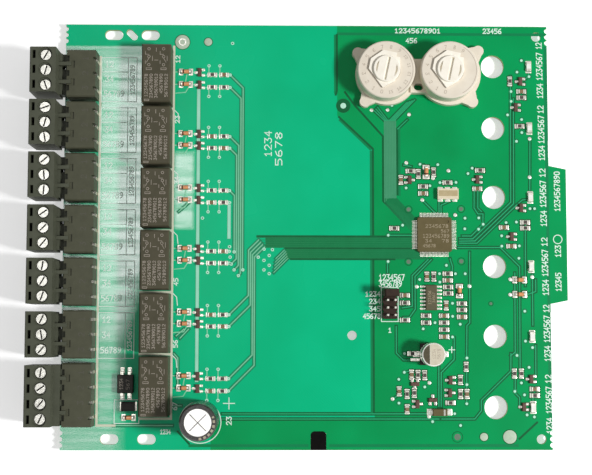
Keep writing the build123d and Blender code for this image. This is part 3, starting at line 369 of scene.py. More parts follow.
def box_path(x0, y0, x1, y1):
    """A rectangle's outline, closed."""
    return [(x0, y0), (x1, y0), (x1, y1), (x0, y1), (x0, y0)]


# Meshes
def make_piece(name, shape, key, body="board", smooth=False):
    """Turn points in millimetres and their faces into an object that rides on a body."""
    points, groups = shape
    mesh = bpy.data.meshes.new(name)
    faces = [face for group in groups for face in group.tolist()]
    mesh.from_pydata((points * MM + ORIGIN).tolist(), [], faces)
    mesh.validate()
    mesh.update()
    if smooth:
        mesh.polygons.foreach_set("use_smooth", np.ones(len(mesh.polygons), bool))
        mesh.set_sharp_from_angle(angle=math.radians(38))
    piece = bpy.data.objects.new(name, mesh)
    bpy.context.scene.collection.objects.link(piece)
    mesh.materials.append(surface(key))
    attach(piece, body)
    return piece


def strips(name, paths, width, high, key, low=SUNK):
    """One piece of many strips of one width, between two heights."""
    parts = [ribbon(path, width, low, high, index % STRIP_LAYERS) for index, path in enumerate(paths)]
    return make_piece(name, joined(parts), key)


def dress(key, *names):
    """Give CAD nodes a finish in place of their plain one."""
    for name in names:
        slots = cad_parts[name].data.materials
        slots.clear()
        slots.append(surface(key))


# Finishes

# Gloss varies this much about its middle, and a metal keeps the shader's own shine
GLOSS_SPREAD = 0.08
METAL_SHINE = 0.5
COAT_ROUGHNESS = 0.12
# The mask's patches and blurs, in millimetres
MASK_PATCH = 22
POUR_BLUR = 0.15
WEAVE_DEPTH = 0.004
PLANE_FADE = 6.0
PLANE_BLUR = 0.6
PATCH_FADE = 1.5
# Drag streaks: stretched along x, this many cells to the metre on each axis
STREAK_SCALE = (40.0, 520.0, 40.0)
# Pale bars round the sleeve's lip: their wave runs this many times as fast as the angle round the can,
# and they reach this far to both sides of the lip's middle circle
LIP_WAVE = 21.0
LIP_BAR_REACH = 0.38


def linear(code):
    """A colour written as sRGB hex, turned to linear red, green and blue with full alpha."""
    channels = [int(code[start:start + 2], 16) / 255 for start in (1, 3, 5)]
    return tuple(c / 12.92 if c <= 0.04045 else ((c + 0.055) / 1.055) ** 2.4 for c in channels) + (1.0,)


def add_node(tree, kind, *values, **settings):
    """Add one node. Values go to its inputs in use, in order. A setting with a capital letter goes to the
    input of that name, its underscores read as spaces, and a lower-case one is the node's own. A value is
    a number, a colour, an output, or a node that stands for its first output in use."""
    node = tree.nodes.new("ShaderNode" + kind)
    for name in [name for name in settings if name.islower()]:
        setattr(node, name, settings.pop(name))
    sockets = [socket for socket in node.inputs if socket.enabled][:len(values)]
    sockets += [node.inputs[name.replace("_", " ")] for name in settings]
    for socket, value in zip(sockets, [*values, *settings.values()]):
        if isinstance(value, bpy.types.Node):
            value = next(output for output in value.outputs if output.enabled)
        if isinstance(value, bpy.types.NodeSocket):
            tree.links.new(value, socket)
        else:
            socket.default_value = value
    return node


def new_material(name):
    """A material with an empty node tree."""
    material = bpy.data.materials.new(name)
    material.use_nodes = True
    material.node_tree.nodes.clear()
    return material, material.node_tree


def finish(name, colour, second, roughness, grain, depth, patch=5.0, metallic=0.0, coat=0.0, weight=0.5,
           shine=0.14):
    """A finish with two near colours in soft patches, a fine grain in its height and its gloss.
    Grain and patch are sizes in millimetres, depth is the grain's height in millimetres."""
    material, tree = new_material(name)
    place = add_node(tree, "TexCoord").outputs["Object"]
    cloud = add_node(tree, "TexNoise", Vector=place, Scale=1 / (patch * MM), Detail=3.0)
    fine = add_node(tree, "TexNoise", Vector=place, Scale=1 / (grain * MM), Detail=2.0)
    share = add_node(tree, "MapRange", cloud, From_Min=0.5 - weight / 2, From_Max=0.5 + weight / 2)
    mix = add_node(tree, "Mix", share, linear(colour), linear(second), data_type="RGBA")
    gloss = add_node(tree, "MapRange", fine, To_Min=roughness - GLOSS_SPREAD, To_Max=roughness + GLOSS_SPREAD)
    bump = add_node(tree, "Bump", Distance=depth * MM, Height=fine)
    shader = add_node(tree, "BsdfPrincipled", Base_Color=mix, Roughness=gloss, Normal=bump, Metallic=metallic,
                      Specular_IOR_Level=METAL_SHINE if metallic else shine, Coat_Weight=coat,
                      Coat_Roughness=COAT_ROUGHNESS)
    add_node(tree, "OutputMaterial", shader)
    return material


def frame_x(x):
    """The frame's x, in metres, of a place on the board."""
    return x * MM + ORIGIN[0]


def frame_y(y):
    """The frame's y, in metres, of a place on the board."""
    return y * MM + ORIGIN[1]


def board_mask():
    """Green solder mask screened over copper and woven glass laminate. The mask is glossy and a
    little wavy over the weave; where copper lies under it, it looks warmer; cut edges show bare resin."""
    settings = bpy.context.scene.board_settings
    material, tree = new_material("green solder mask on glass laminate")
    place = add_node(tree, "TexCoord").outputs["Object"]
    split = add_node(tree, "SeparateXYZ", place)
    x, y = split.outputs[0], split.outputs[1]
    # The copper area's left side steps from one column to the next along a short slope
    edge = add_node(tree, "MapRange", y, frame_y(POUR_STEP_Y[1]), frame_y(POUR_STEP_Y[0]),
                    frame_x(POUR_XS[1]), frame_x(POUR_XS[0]))
    inside_edge = add_node(tree, "Math", x, edge, operation="SUBTRACT")
    below_strip = add_node(tree, "Math", frame_y(STRIP_CORNER[1]), y, operation="SUBTRACT")
    right_of_strip = add_node(tree, "Math", x, frame_x(STRIP_CORNER[0]), operation="SUBTRACT")
    strip = add_node(tree, "Math", below_strip, right_of_strip, operation="MINIMUM")
    over = add_node(tree, "Math", inside_edge, strip, operation="MAXIMUM")
    # Only the top face shows the copper; the underside isn't in the photo and stays plain
    normal = add_node(tree, "NewGeometry").outputs["Normal"]
    facing = add_node(tree, "SeparateXYZ", normal).outputs[2]
    top = add_node(tree, "Math", facing, 0.3, operation="GREATER_THAN")
    over_top = add_node(tree, "Math", over, top, operation="MULTIPLY")
    pour = add_node(tree, "MapRange", over_top, From_Max=POUR_BLUR * MM)
    cloud = add_node(tree, "TexNoise", Vector=place, Scale=1 / (MASK_PATCH * MM), Detail=2.0)
    share = add_node(tree, "MapRange", cloud, From_Min=0.35, From_Max=0.65)
    colours = [(*colour, 1.0) for colour in (settings.mask_colour, settings.mask_second, settings.pour_colour,
                                             settings.pour_second)]
    bare = add_node(tree, "Mix", share, *colours[:2], data_type="RGBA")
    copper = add_node(tree, "Mix", share, *colours[2:], data_type="RGBA")
    face = add_node(tree, "Mix", pour, bare, copper, data_type="RGBA")
    upright = add_node(tree, "Math", facing, operation="ABSOLUTE")
    side = add_node(tree, "MapRange", upright, 0.4, 0.6, 1.0, 0.0)
    whole = add_node(tree, "Mix", side, face, linear("#B9B878"), data_type="RGBA")
    # Glass cloth threads lie about 0.5 mm apart; they are drawn at 1 mm so that they show
    threads = [add_node(tree, "Math", add_node(tree, "Math", along, 2 * math.pi / MM, operation="MULTIPLY"),
                        operation="SINE") for along in (x, y)]
    weave = add_node(tree, "Math", *threads, operation="MULTIPLY")
    bump = add_node(tree, "Bump", Distance=WEAVE_DEPTH * MM, Height=weave)
    gloss = add_node(tree, "MapRange", cloud, To_Min=0.2, To_Max=0.32)
    # Copper planes on the left polish the mask above them: it mirrors more there, in long drag streaks
    lean = add_node(tree, "MapRange", y, frame_y(LEAN_YS[0]), frame_y(LEAN_YS[1]), LEAN * MM, 0.0)
    left_of_plane = add_node(tree, "Math", frame_x(PLANE_CORNER[0]), x, operation="SUBTRACT")
    room = add_node(tree, "Math", left_of_plane, lean, operation="SUBTRACT")
    below_plane = add_node(tree, "Math", frame_y(PLANE_CORNER[1]), y, operation="SUBTRACT")
    plane = add_node(tree, "Math", add_node(tree, "MapRange", room, From_Max=PLANE_FADE * MM),
                     add_node(tree, "MapRange", below_plane, From_Max=PLANE_BLUR * MM), operation="MINIMUM")
    left_of_patch = add_node(tree, "Math", frame_x(PATCH_X), x, operation="SUBTRACT")
    below_patch = add_node(tree, "Math", frame_y(PATCH_YS[1]), y, operation="SUBTRACT")
    above_patch = add_node(tree, "Math", y, frame_y(PATCH_YS[0]), operation="SUBTRACT")
    corner = add_node(tree, "Math", left_of_patch, below_patch, operation="MINIMUM")
    patch = add_node(tree, "Math", corner, above_patch, operation="MINIMUM")
    spot = add_node(tree, "MapRange", patch, From_Max=PATCH_FADE * MM)
    planes = add_node(tree, "Math", plane, spot, operation="MAXIMUM")
    drawn = add_node(tree, "Mapping", Vector=place, Scale=STREAK_SCALE)
    streak = add_node(tree, "TexNoise", Vector=drawn, Scale=1.0, Detail=4.0)
    drag = add_node(tree, "MapRange", streak, 0.3, 0.62, 0.35, 1.0)
    dragged = add_node(tree, "Math", planes, drag, operation="MULTIPLY")
    polish = add_node(tree, "Math", dragged, top, operation="MULTIPLY")
    mirror = add_node(tree, "MapRange", polish, To_Min=0.1)
    # What is mirrored there is missing from the colour below it
    weaker = add_node(tree, "MapRange", polish, To_Max=0.4)
    shown = add_node(tree, "Mix", weaker, whole, linear("#0E5A40"), data_type="RGBA")
    shader = add_node(tree, "BsdfPrincipled", Base_Color=shown, Roughness=gloss, Normal=bump,
                      Specular_IOR_Level=mirror, Coat_Weight=polish, Coat_Roughness=0.2, Coat_IOR=1.9)
    add_node(tree, "OutputMaterial", shader)
    return material


def printed_sleeve():
    """Black shrunk sleeve, near black and glossy, with a row of pale bars round part of its lip:
    a bar shows where the sine of the angle is high, on the lip's middle circle and on its right side."""
    material, tree = new_material("black shrunk sleeve")
    place = add_node(tree, "TexCoord").outputs["Object"]
    split = add_node(tree, "SeparateXYZ", place)
    x = add_node(tree, "Math", split.outputs[0], frame_x(CAN_AT[0]), operation="SUBTRACT")
    y = add_node(tree, "Math", split.outputs[1], frame_y(CAN_AT[1]), operation="SUBTRACT")
    angle = add_node(tree, "Math", y, x, operation="ARCTAN2")
    turns = add_node(tree, "Math", angle, LIP_WAVE, operation="MULTIPLY")
    wave = add_node(tree, "Math", turns, operation="SINE")
    bars = add_node(tree, "Math", wave, -0.2, operation="GREATER_THAN")
    off_middle = add_node(tree, "Math", angle, 0.55, operation="ADD")
    apart = add_node(tree, "Math", off_middle, operation="ABSOLUTE")
    near = add_node(tree, "Math", apart, 0.95, operation="LESS_THAN")
    squares = [add_node(tree, "Math", part, part, operation="MULTIPLY") for part in (x, y)]
    reach = add_node(tree, "Math", add_node(tree, "Math", *squares, operation="ADD"), operation="SQRT")
    beyond = add_node(tree, "Math", reach, LIP_R * MM, operation="SUBTRACT")
    off_circle = add_node(tree, "Math", beyond, operation="ABSOLUTE")
    circle = add_node(tree, "Math", off_circle, LIP_BAR_REACH * MM, operation="LESS_THAN")
    level = (LIP_TOP - 0.1) * MM + ORIGIN[2]
    high = add_node(tree, "Math", split.outputs[2], level, operation="GREATER_THAN")
    row = add_node(tree, "Math", bars, near, operation="MULTIPLY")
    lip = add_node(tree, "Math", circle, high, operation="MULTIPLY")
    mark = add_node(tree, "Math", row, lip, operation="MULTIPLY")
    cloud = add_node(tree, "TexNoise", Vector=place, Scale=1 / (1.2 * MM), Detail=3.0)
    black = add_node(tree, "Mix", cloud, linear("#242220"), linear("#302D2A"), data_type="RGBA")
    pale = add_node(tree, "Mix", cloud, linear("#B9AF98"), linear("#8F8672"), data_type="RGBA")
    whole = add_node(tree, "Mix", mark, black, pale, data_type="RGBA")
    gloss = add_node(tree, "MapRange", cloud, To_Min=0.2, To_Max=0.34)
    bump = add_node(tree, "Bump", Distance=0.01 * MM, Height=cloud)
    shader = add_node(tree, "BsdfPrincipled", Base_Color=whole, Roughness=gloss, Normal=bump)
    add_node(tree, "OutputMaterial", shader)
    return material


# Each row: the material, its two colours and its roughness, then grain and depth in millimetres. Where they
# aren't the usual ones, there follow patch in millimetres, metallic, coat, weight and shine
FINISHES = {
    # Mask over thin signal tracks on bare laminate: greyish, and paler than the field
    "pale_track": ("mask over thin signal tracks", "#7CCBA2", "#8FD4AE", 0.3, 0.5, 0.003),
    # Their close columns, where the tracks nearly touch
    "column": ("mask over the bus columns", "#4E9C76", "#59A57F", 0.3, 0.5, 0.003, 2.0),
    # The relay supply: a wide track with paler mask
    "wide_track": ("mask over the wide supply track", "#A6DFC6", "#93D6B8", 0.3, 0.6, 0.003),
    # Rows of tracks to the controller: dark, because a plane is missing beneath them
    "row_band": ("mask over the row bus", "#0B7040", "#107846", 0.3, 0.5, 0.003, 3.0),
    "row_track": ("mask over the row bus tracks", "#1B7D4D", "#167847", 0.3, 0.5, 0.003),
    # Band of tracks from the switches: greyer than the copper area about it
    "bundle_band": ("mask over the switch bundle", "#3F9068", "#388A60", 0.3, 0.5, 0.003, 6.0),
    "bundle_track": ("mask over the switch bundle tracks", "#4A9A70", "#43936A", 0.3, 0.5, 0.003),
    # Tracks inside the copper area: a little paler than the mask about them
    "pour_track": ("mask over tracks in the copper area", "#22A06A", "#2BA872", 0.3, 0.5, 0.003),
    # Gaps in the copper: a dark core under the mask
    "gap": ("mask over gaps in the copper", "#04552D", "#066036", 0.32, 0.5, 0.003, 3.0),
    "signal_gap": ("mask edge beside signal tracks", "#058058", "#077A52", 0.32, 0.5, 0.003),
    # Shallow gaps, and the soft band of painted shade beside the copper area's edges
    "soft_gap_and_shade": ("mask over shallow gaps in the copper", "#067A48", "#087F4C", 0.32, 0.5, 0.003),
    # White epoxy ink: screen printed, matt, thin enough to let a little green through
    "ink": ("white epoxy ink", "#EAF7EE", "#CFEADB", 0.65, 0.15, 0.006, 0.6, 0.0, 0.0, 0.6),
    # Ink lines by the relays and headers have yellowed a little
    "cream_ink": ("aged epoxy ink", "#DDD9C4", "#C9D3BA", 0.65, 0.15, 0.006, 0.6, 0.0, 0.0, 0.6),
    # Tin over copper, levelled with hot air: bright, slightly lumpy
    "tin": ("hot air levelled tin", "#D8D6CC", "#B7B4A8", 0.3, 0.35, 0.012, 1.2, 1.0),
    # Probed test lands have dulled, with some mask smeared over their rims
    "dull_tin": ("dulled test land", "#BFCDB8", "#A9BCA4", 0.45, 0.3, 0.01, 0.9),
    # Reflowed solder: bright fillets with a fine crystal grain
    "solder": ("reflowed solder", "#D5D6CE", "#A9A89E", 0.32, 0.2, 0.015, 0.8, 1.0),
    # Drilled barrel of a via, seen as a small dark spot
    "barrel": ("drilled barrel", "#0B4A32", "#083824", 0.5, 0.2, 0.004),
    "fiducial": ("grey bare laminate spot", "#6E7F6C", "#5E7263", 0.5, 0.2, 0.004, 1.0),
    # Tented via: mask drawn thin over the plated ring, which shows as a pale spot
    "collar": ("mask over via collars", "#A8E2C6", "#C6EDD9", 0.3, 0.3, 0.004, 0.6),
    # Glass filled nylon, moulded: dark grey, satin, with pale fibre specks
    "block_plastic": ("moulded glass filled nylon", "#494A3B", "#515242", 0.48, 0.25, 0.02, 2.5),
    # The plugs are the same plastic
    "plug_plastic": ("moulded plug plastic", "#4A4D40", "#535648", 0.46, 0.25, 0.02, 2.5),
    "block_relief": ("moulded numeral relief", "#5B5A50", "#4E4C44", 0.4, 0.2, 0.01, 1.0),
    # Zinc plated steel, rolled: cool grey with brushed patches
    "zinc": ("zinc plated steel", "#D2D1C9", "#A6A59D", 0.3, 0.3, 0.012, 0.9, 1.0),
    # Painted shadow: a dark sheet on the bottom of each screw's slot, where the slot lies in shade
    "slot_shade": ("painted shadow in screw slots", "#3A3833", "#2C2A27", 0.5, 0.2, 0.01, 0.5),
    # Polybutylene relay case, moulded: near black, fine spark eroded texture
    "relay_case": ("spark textured relay case", "#454233", "#4E4A3A", 0.45, 0.3, 0.02, 4.0),
    # Pad printed grey ink on the relay cases
    "case_ink": ("grey case ink", "#B0A79B", "#968D82", 0.6, 0.2, 0.004, 0.8),
    # Cream thermoplastic switch moulding: satin, faintly translucent looking
    "cream": ("cream moulded switch plastic", "#E5DCCC", "#DCD2C1", 0.45, 0.35, 0.01, 3.0),
    # The rotors are the same plastic, a touch whiter
    "rotor": ("pale moulded rotor plastic", "#FAF5E8", "#F1EADB", 0.4, 0.35, 0.008, 2.5),
    # Moulded numerals on the switch drums catch shadow and dust, so they look greyer
    "numeral": ("shaded moulded numerals", "#BDB2A2", "#A99D8C", 0.55, 0.2, 0.006, 0.5),
    # Painted shadow for the bottoms of the scores in the big can's top
    "can_mark": ("painted shadow in can scores", "#5A5655", "#6B6765", 0.5, 0.2, 0.004, 0.5),
    # Brass of the contacts under the rotors and of the clip in the jumper cap
    "brass": ("stamped brass", "#B8974F", "#94763B", 0.34, 0.3, 0.008, 1.5, 1.0),
    # Controller and power diode: matt brown grey moulded epoxy with filler specks
    "epoxy_brown": ("brown grey moulded epoxy", "#5B5134", "#63593B", 0.5, 0.12, 0.015, 2.0),
    # Olive grey moulded epoxy of the amplifier
    "epoxy_olive": ("olive grey moulded epoxy", "#53503C", "#5C5843", 0.48, 0.12, 0.015, 1.5),
    # Black moulded epoxy of rectifier and choke
    "epoxy_black": ("black moulded epoxy", "#24231F", "#302E29", 0.45, 0.12, 0.012, 1.5),
    # Laser marked epoxy: the burnt skin is a paler, rougher grey
    "laser": ("laser marked epoxy", "#B0A48C", "#998C74", 0.7, 0.15, 0.004, 0.6),
    # Fired ceramic of the resonator's base
    "ceramic": ("fired cream ceramic", "#E3D8BC", "#D2C5A6", 0.45, 0.15, 0.008, 0.8),
    "tan": ("tan resonator cap", "#BAAB86", "#AC9C76", 0.45, 0.15, 0.006, 1.5),
    # Brown barium titanate of the chip capacitors
    "titanate": ("brown chip capacitor ceramic", "#8C7558", "#7A664D", 0.45, 0.15, 0.006, 0.6),
    # White alumina body of the chip resistors
    "alumina": ("white alumina", "#D5D1C3", "#C0BBAB", 0.5, 0.15, 0.006, 0.6),
    # Reddish brown epoxy of the small transistors
    "epoxy_sot": ("red brown moulded epoxy", "#695047", "#574039", 0.45, 0.12, 0.01, 1.0),
    # Resistor's printed film under dark overglaze
    "overglaze": ("dark resistor overglaze", "#57504A", "#474340", 0.3, 0.2, 0.006, 0.7),
    # Black polyester jumper moulding with a brown cast
    "jumper_plastic": ("brown black jumper plastic", "#35261E", "#281D18", 0.44, 0.3, 0.012, 1.5),
    # White lamp moulding
    "lamp": ("white lamp moulding", "#EDEEE8", "#DFE2D9", 0.4, 0.2, 0.006, 0.8, 0.0, 0.2),
    # Tinted soda glass of the small diodes, fused over two studs
    "amber": ("amber diode glass", "#E39B66", "#CF8854", 0.14, 0.5, 0.003, 0.7, 0.0, 0.6),
    # Printed cathode band
    "band": ("black band paint", "#2A2320", "#3A302B", 0.4, 0.2, 0.004, 0.5),
    # Drawn aluminium can: bright satin with faint drawing lines
    "aluminium": ("drawn aluminium", "#E9E8E3", "#D8D7D3", 0.32, 0.12, 0.01, 2.0, 1.0),
    # Pale stripe printed down the sleeve's negative side
    "stripe": ("pale sleeve stripe", "#C2C0B7", "#AFADA3", 0.5, 0.3, 0.006, 1.0),
    # Black moulded base under the small can
    "rubber": ("black rubber bung", "#1F1E1C", "#2B2927", 0.6, 0.3, 0.02, 1.0),
    # Black plug of resin in the lower notch
    "insert": ("black notch resin", "#060505", "#0E0C0B", 0.7, 0.3, 0.02, 1.5, 0.0, 0.0, 0.5, 0.05),
    # Beige printed top of the small can
    "beige_top": ("beige printed can top", "#D3CBB6", "#C5BDA8", 0.4, 0.2, 0.005, 1.0),
    "dark_top": ("dark printed segment", "#474334", "#57513F", 0.42, 0.2, 0.005, 1.0),
}
SPECIAL_FINISHES = {"board_mask": board_mask, "sleeve": printed_sleeve}
_made = {}


def surface(key):
    """Each finish is made once, when a piece first asks for it."""
    if key not in _made:
        _made[key] = SPECIAL_FINISHES[key]() if key in SPECIAL_FINISHES else finish(*FINISHES[key])
    return _made[key]


# Where tracks and marks lie

# The copper area on the right: its left side's two columns, and the y where it steps between them
POUR_XS = (10.4, 23.1)
POUR_STEP_Y = (41.8, 29.9)
# A strip of copper lies along the lower edge, from this corner to the right and down
STRIP_CORNER = (-33.0, -63.5)
# Planes of copper lie under the mask left of and below this corner, and in a patch between two heights.
# Towards the lower end the planes stop further left
PLANE_CORNER = (-51.5, 66.3)
LEAN_YS = (-36.0, -6.0)
LEAN = 10.0
PATCH_X = -38.7
PATCH_YS = (1.5, 29.5)
# Row buses to the controller: the first track's y, the pitch and the right-hand end of each
BUS_TRACKS = 5
UPPER_BUS_Y, UPPER_BUS_PITCH, UPPER_BUS_END = -0.95, 0.8, 36.4
LOWER_BUS_Y, LOWER_BUS_PITCH, LOWER_BUS_END = -5.05, 0.72, 38.6
# Columns of tracks from the driver groups, and how far the lower ones slope over to their bus
UPPER_COLUMN_X, UPPER_COLUMN_PITCH = -25.2, 0.72
LOWER_COLUMN_X, LOWER_COLUMN_PITCH = -20.9, 0.68
BUS_SLOPE = 3.5
# The upper columns end at five vias of the field between the driver groups and the bus
COLUMN_ENDS = [(-25.2, -5.9), (-26.2, -10.1), (-25.2, -12.1), (-23.7, -14.1), (-22.2, -12.1)]
FIELD_VIAS = [
    (-14.9, -4.9), (-12.0, -5.1), (-13.1, -7.1), (-14.9, -8.8), (-13.1, -10.5), (-14.9, -12.1),
    (-13.1, -13.4), (-16.9, -7.7), (-25.2, -5.9), (-25.2, -12.1), (-22.2, -12.1), (-23.7, -14.1),
    (-26.2, -10.1), (-26.6, -7.7), (-26.8, -4.1), (-26.1, 67.2), (-36.2, 5.8),
]
# The bundle of tracks from the switches
BUNDLE_TRACKS = 8
BUNDLE_X, BUNDLE_PITCH, BUNDLE_TOP_Y = 26.95, 0.55, 39.6
BUNDLE_MIDDLE = 28.9
# Paths of the bands under the bundle, its slope and the row buses, and of the relay supply
BUNDLE_BAND = [[(BUNDLE_MIDDLE, 38.3), (BUNDLE_MIDDLE, 15.0)]]
SLOPE_BAND = [[(BUNDLE_MIDDLE + 0.4, 12.1), (35.2, 5.8)]]
ROW_BANDS = [[(-12.5, -2.55), (36.4, -2.55)], [(-5.5, -6.5), (40.0, -6.5)]]
SUPPLY_TRACKS = [[(-37.8, 50.8), (-37.8, -50.0)], [(-27.0, 10.0), (-27.0, -0.8)]]


def row_starts():
    """Short slopes from the field of vias to the lower row bus."""
    paths = []
    for index in range(BUS_TRACKS):
        x, y = -10.8 - 0.18 * index, -8.2 - 1.2 * index
        level = LOWER_BUS_Y - LOWER_BUS_PITCH * index
        paths.append([(x, y), (x + level - y, level)])
    return paths


def upper_columns():
    """Five tracks from the upper driver groups, down a column into a field of vias."""
    starts = [DRIVER_ROWS[2][0], DRIVER_ROWS[1][1], DRIVER_ROWS[1][0], DRIVER_ROWS[0][1], DRIVER_ROWS[0][0]]
    paths = []
    for index, (y, end) in enumerate(zip(starts, COLUMN_ENDS)):
        column = UPPER_COLUMN_X + UPPER_COLUMN_PITCH * index
        row = y - CHIP_DROP
        paths.append([(DRIVER_VIA_X, row), (column, row - column + DRIVER_VIA_X),
                      (column, end[1] + 0.1 + abs(column - end[0])), end])
    return paths


def lower_columns():
    """Four tracks from the lower driver groups, up a column and over a slope to the upper row bus."""
    starts = [DRIVER_ROWS[4][0], DRIVER_ROWS[4][1], DRIVER_ROWS[5][0], DRIVER_ROWS[5][1]]
    paths = []
    for index, y in enumerate(starts, 1):
        column = LOWER_COLUMN_X + LOWER_COLUMN_PITCH * index
        level = UPPER_BUS_Y - UPPER_BUS_PITCH * index
        row = y - CHIP_DROP
        paths.append([(DRIVER_VIA_X, row), (column, row + column - DRIVER_VIA_X), (column, level - BUS_SLOPE),
                      (column + BUS_SLOPE, level)])
    return paths


def row_bus():
    """Ten tracks across to the controller: five from the columns, five from the field of vias."""
    paths = []
    for index in range(BUS_TRACKS):
        level = UPPER_BUS_Y - UPPER_BUS_PITCH * index
        start = LOWER_COLUMN_X + BUS_SLOPE + LOWER_COLUMN_PITCH * index
        paths.append([(start, level), (UPPER_BUS_END, level)])
    for index, slope in enumerate(row_starts()):
        level = slope[-1][1]
        end = LOWER_BUS_END + 0.5 * index
        paths.append([slope[-1], (end - 0.8, level), (end, level + 0.8), (end, -6.6)])
    return paths


def bundle_columns():
    """The x of each track in the bundle from the switches."""
    return [BUNDLE_X + BUNDLE_PITCH * index for index in range(BUNDLE_TRACKS)]


def switch_bundle():
    """Eight tracks from the switches down a column."""
    return [[(column, BUNDLE_TOP_Y), (column, column - 15.4)] for column in bundle_columns()]


def bundle_slope():
    """The same eight tracks across a slope to the controller's left side."""
    ends = [0.7 + 0.5 * index for index in range(BUNDLE_TRACKS)]
    return [[(column, end + 37.2 - column), (36.9, end)] for column, end in zip(bundle_columns(), ends)]


def switch_leads():
    """Tracks that fan out from the column to the switches' pins."""
    fans = [[(26.9 + 0.6 * index, 40.2), (23.4 + 0.6 * index, 43.6 + 0.6 * index)] for index in range(3)]
    fans += [[(28.7 + 0.6 * index, 40.2), (34.9 + 0.9 * index, 46.6 + 0.3 * index)] for index in range(4)]
    return fans


def driver_tracks():
    """Short tracks between the parts of each driver group."""
    paths = []
    for upper, lower in DRIVER_ROWS:
        for y, side in ((upper, 1), (lower, -1)):
            row = y - CHIP_DROP
            paths += [[(-46.0, y), (-43.8, y)], [(-40.7, y), (-38.9, y - 0.2)],
                      [(-36.2, y - 1.2), (-34.0, row)], [(-32.1, row), (-30.0, row)],
                      [(-28.0, row), (DRIVER_VIA_X, row)]]
            paths += [[(x, row), (x, row + side * 3.0)] for x in STUB_XS]
        paths += [[(-42.0, upper - 1.0), (-42.4, lower + 1.0)],
                  [(-41.3, lower - 1.0), (-42.4, lower - 2.8), (-45.8, lower - 3.1)]]
    return paths


PALE_TRACKS = [
    [(-45.6, -40.9), (-44.3, -42.4), (-44.2, -52.3)], [(-44.9, -34.8), (-42.3, -32.5)],
    [(-43.6, -35.6), (-40.7, -32.5)], [(-46.2, -58.6), (-43.0, -58.6)], [(-66.0, -65.3), (-46.0, -65.3)],
    [(-37.9, -8.3), (-40.5, -8.8)], [(-44.4, 8.0), (-41.0, 11.1)],
]
# Supply lines along the lower edge, dark gaps with a paler track in each
EDGE_TRACKS = [[(-29.0, -61.35), (41.0, -61.35)], [(-29.0, -63.1), (45.2, -63.1)]]
# Gaps without a track: the copper area's edge and second border, and the edges of the row bands
BORDERS = [
    [(10.4, 70.4), (10.4, 50.6), (10.0, 49.2)], [(11.1, 41.3), (22.9, 30.2), (22.9, -0.5)],
    [(22.9, -8.4), (22.9, -60.9)], [(13.2, 50.1), (16.6, 45.5), (26.4, 34.6), (26.4, 11.9), (34.0, 3.9)],
    [(31.4, 37.0), (31.4, 14.2)], [(-17.2, -0.45), (36.0, -0.45)], [(-7.4, -4.55), (37.0, -4.55)],
    [(-5.6, -8.35), (30.2, -8.35)], [(78.9, -64.3), (72.8, -69.8)], [(-44.1, -67.4), (-40.3, -71.4)],
]
# Shallower gaps along the board's margins, and a wide soft band of painted shade beside the copper area's
# edges
MARGINS_AND_EDGE_SHADE = [
    [(10.9, 70.8), (83.2, 70.8)], [(-39.9, -72.1), (0.0, -72.1)], [(8.0, -72.1), (72.0, -72.1)],
    [(83.6, 66.0), (83.6, -66.0)], [(9.9, 70.0), (9.9, 50.0)], [(22.3, 29.0), (22.3, 0.2)],
    [(22.3, -9.0), (22.3, -60.6)], [(11.6, 40.2), (22.0, 30.2)], [(32.0, 37.0), (32.0, 14.2)],
]
POUR_TRACKS = [
    [(52.8, -1.2), (57.4, -1.2), (70.8, 11.6), (71.2, 56.0)],
    [(52.8, -2.0), (58.2, -1.9), (71.8, 11.1), (72.2, 48.0)],
    [(52.8, -2.7), (58.9, -2.7), (73.1, 10.9), (74.9, 12.4), (77.0, 12.7)],
    [(52.3, -4.2), (67.0, -4.2), (73.6, -10.8), (73.3, -46.3)],
    [(58.1, 15.5), (58.0, 9.6), (59.3, 7.5), (61.1, 7.5), (61.0, 3.9), (56.9, -0.2), (53.8, -0.2)],
    [(59.4, 15.5), (59.3, 9.6), (60.6, 8.3)], [(41.9, -8.4), (36.3, -14.0), (36.3, -24.6), (32.8, -25.1)],
    [(43.0, -8.4), (37.3, -14.3), (37.3, -25.6), (35.3, -28.4), (33.3, -28.4)],
    [(56.3, -5.8), (56.1, -30.2), (55.1, -31.2), (54.9, -42.3)], [(75.8, 3.5), (75.5, -17.4)],
    [(77.8, 33.3), (77.5, 15.8)], [(79.1, -15.4), (79.1, -19.4), (76.0, -20.5)],
    [(45.8, 12.6), (45.8, 7.6)], [(50.9, 12.6), (46.5, 10.5), (46.5, 7.6)],
    [(40.2, 12.1), (43.7, 8.5), (44.7, 7.6)], [(27.9, 0.0), (36.6, 0.0)], [(27.8, -9.1), (27.8, -12.9)],
    [(30.7, -31.5), (30.7, -40.6), (33.1, -43.0), (36.0, -43.0)], [(45.3, -45.3), (45.2, -58.8)],
    [(50.7, -35.3), (50.6, -42.8), (46.1, -47.3), (46.0, -58.8)],
    [(70.2, -40.8), (70.1, -46.8), (59.8, -56.8), (59.8, -60.3), (57.5, -63.1), (46.2, -63.1)],
    [(71.9, -13.0), (71.7, -40.3), (70.1, -41.5)],
    [(71.6, -49.3), (71.5, -54.3), (73.0, -55.8), (73.0, -58.3)], [(78.0, -13.5), (77.9, -31.0)],
    [(78.8, -38.0), (78.7, -48.3)], [(49.5, -8.1), (50.3, -10.8), (50.1, -14.0)],
    [(31.6, 37.2), (34.9, 40.4)], [(39.5, -2.8), (36.8, -2.8)], [(33.6, 24.5), (36.2, 24.0)],
    [(40.4, 24.6), (40.4, 20.5)], [(47.5, 18.4), (46.2, 18.4)], [(50.2, 18.4), (51.8, 18.4)],
    [(54.9, -45.0), (54.8, -57.9)], [(33.4, -47.2), (35.9, -46.6)], [(29.4, -56.3), (31.6, -54.8)],
    [(77.6, 57.0), (77.6, 56.0), (76.0, 54.6)], [(77.6, -57.0), (77.6, -56.0)],
]
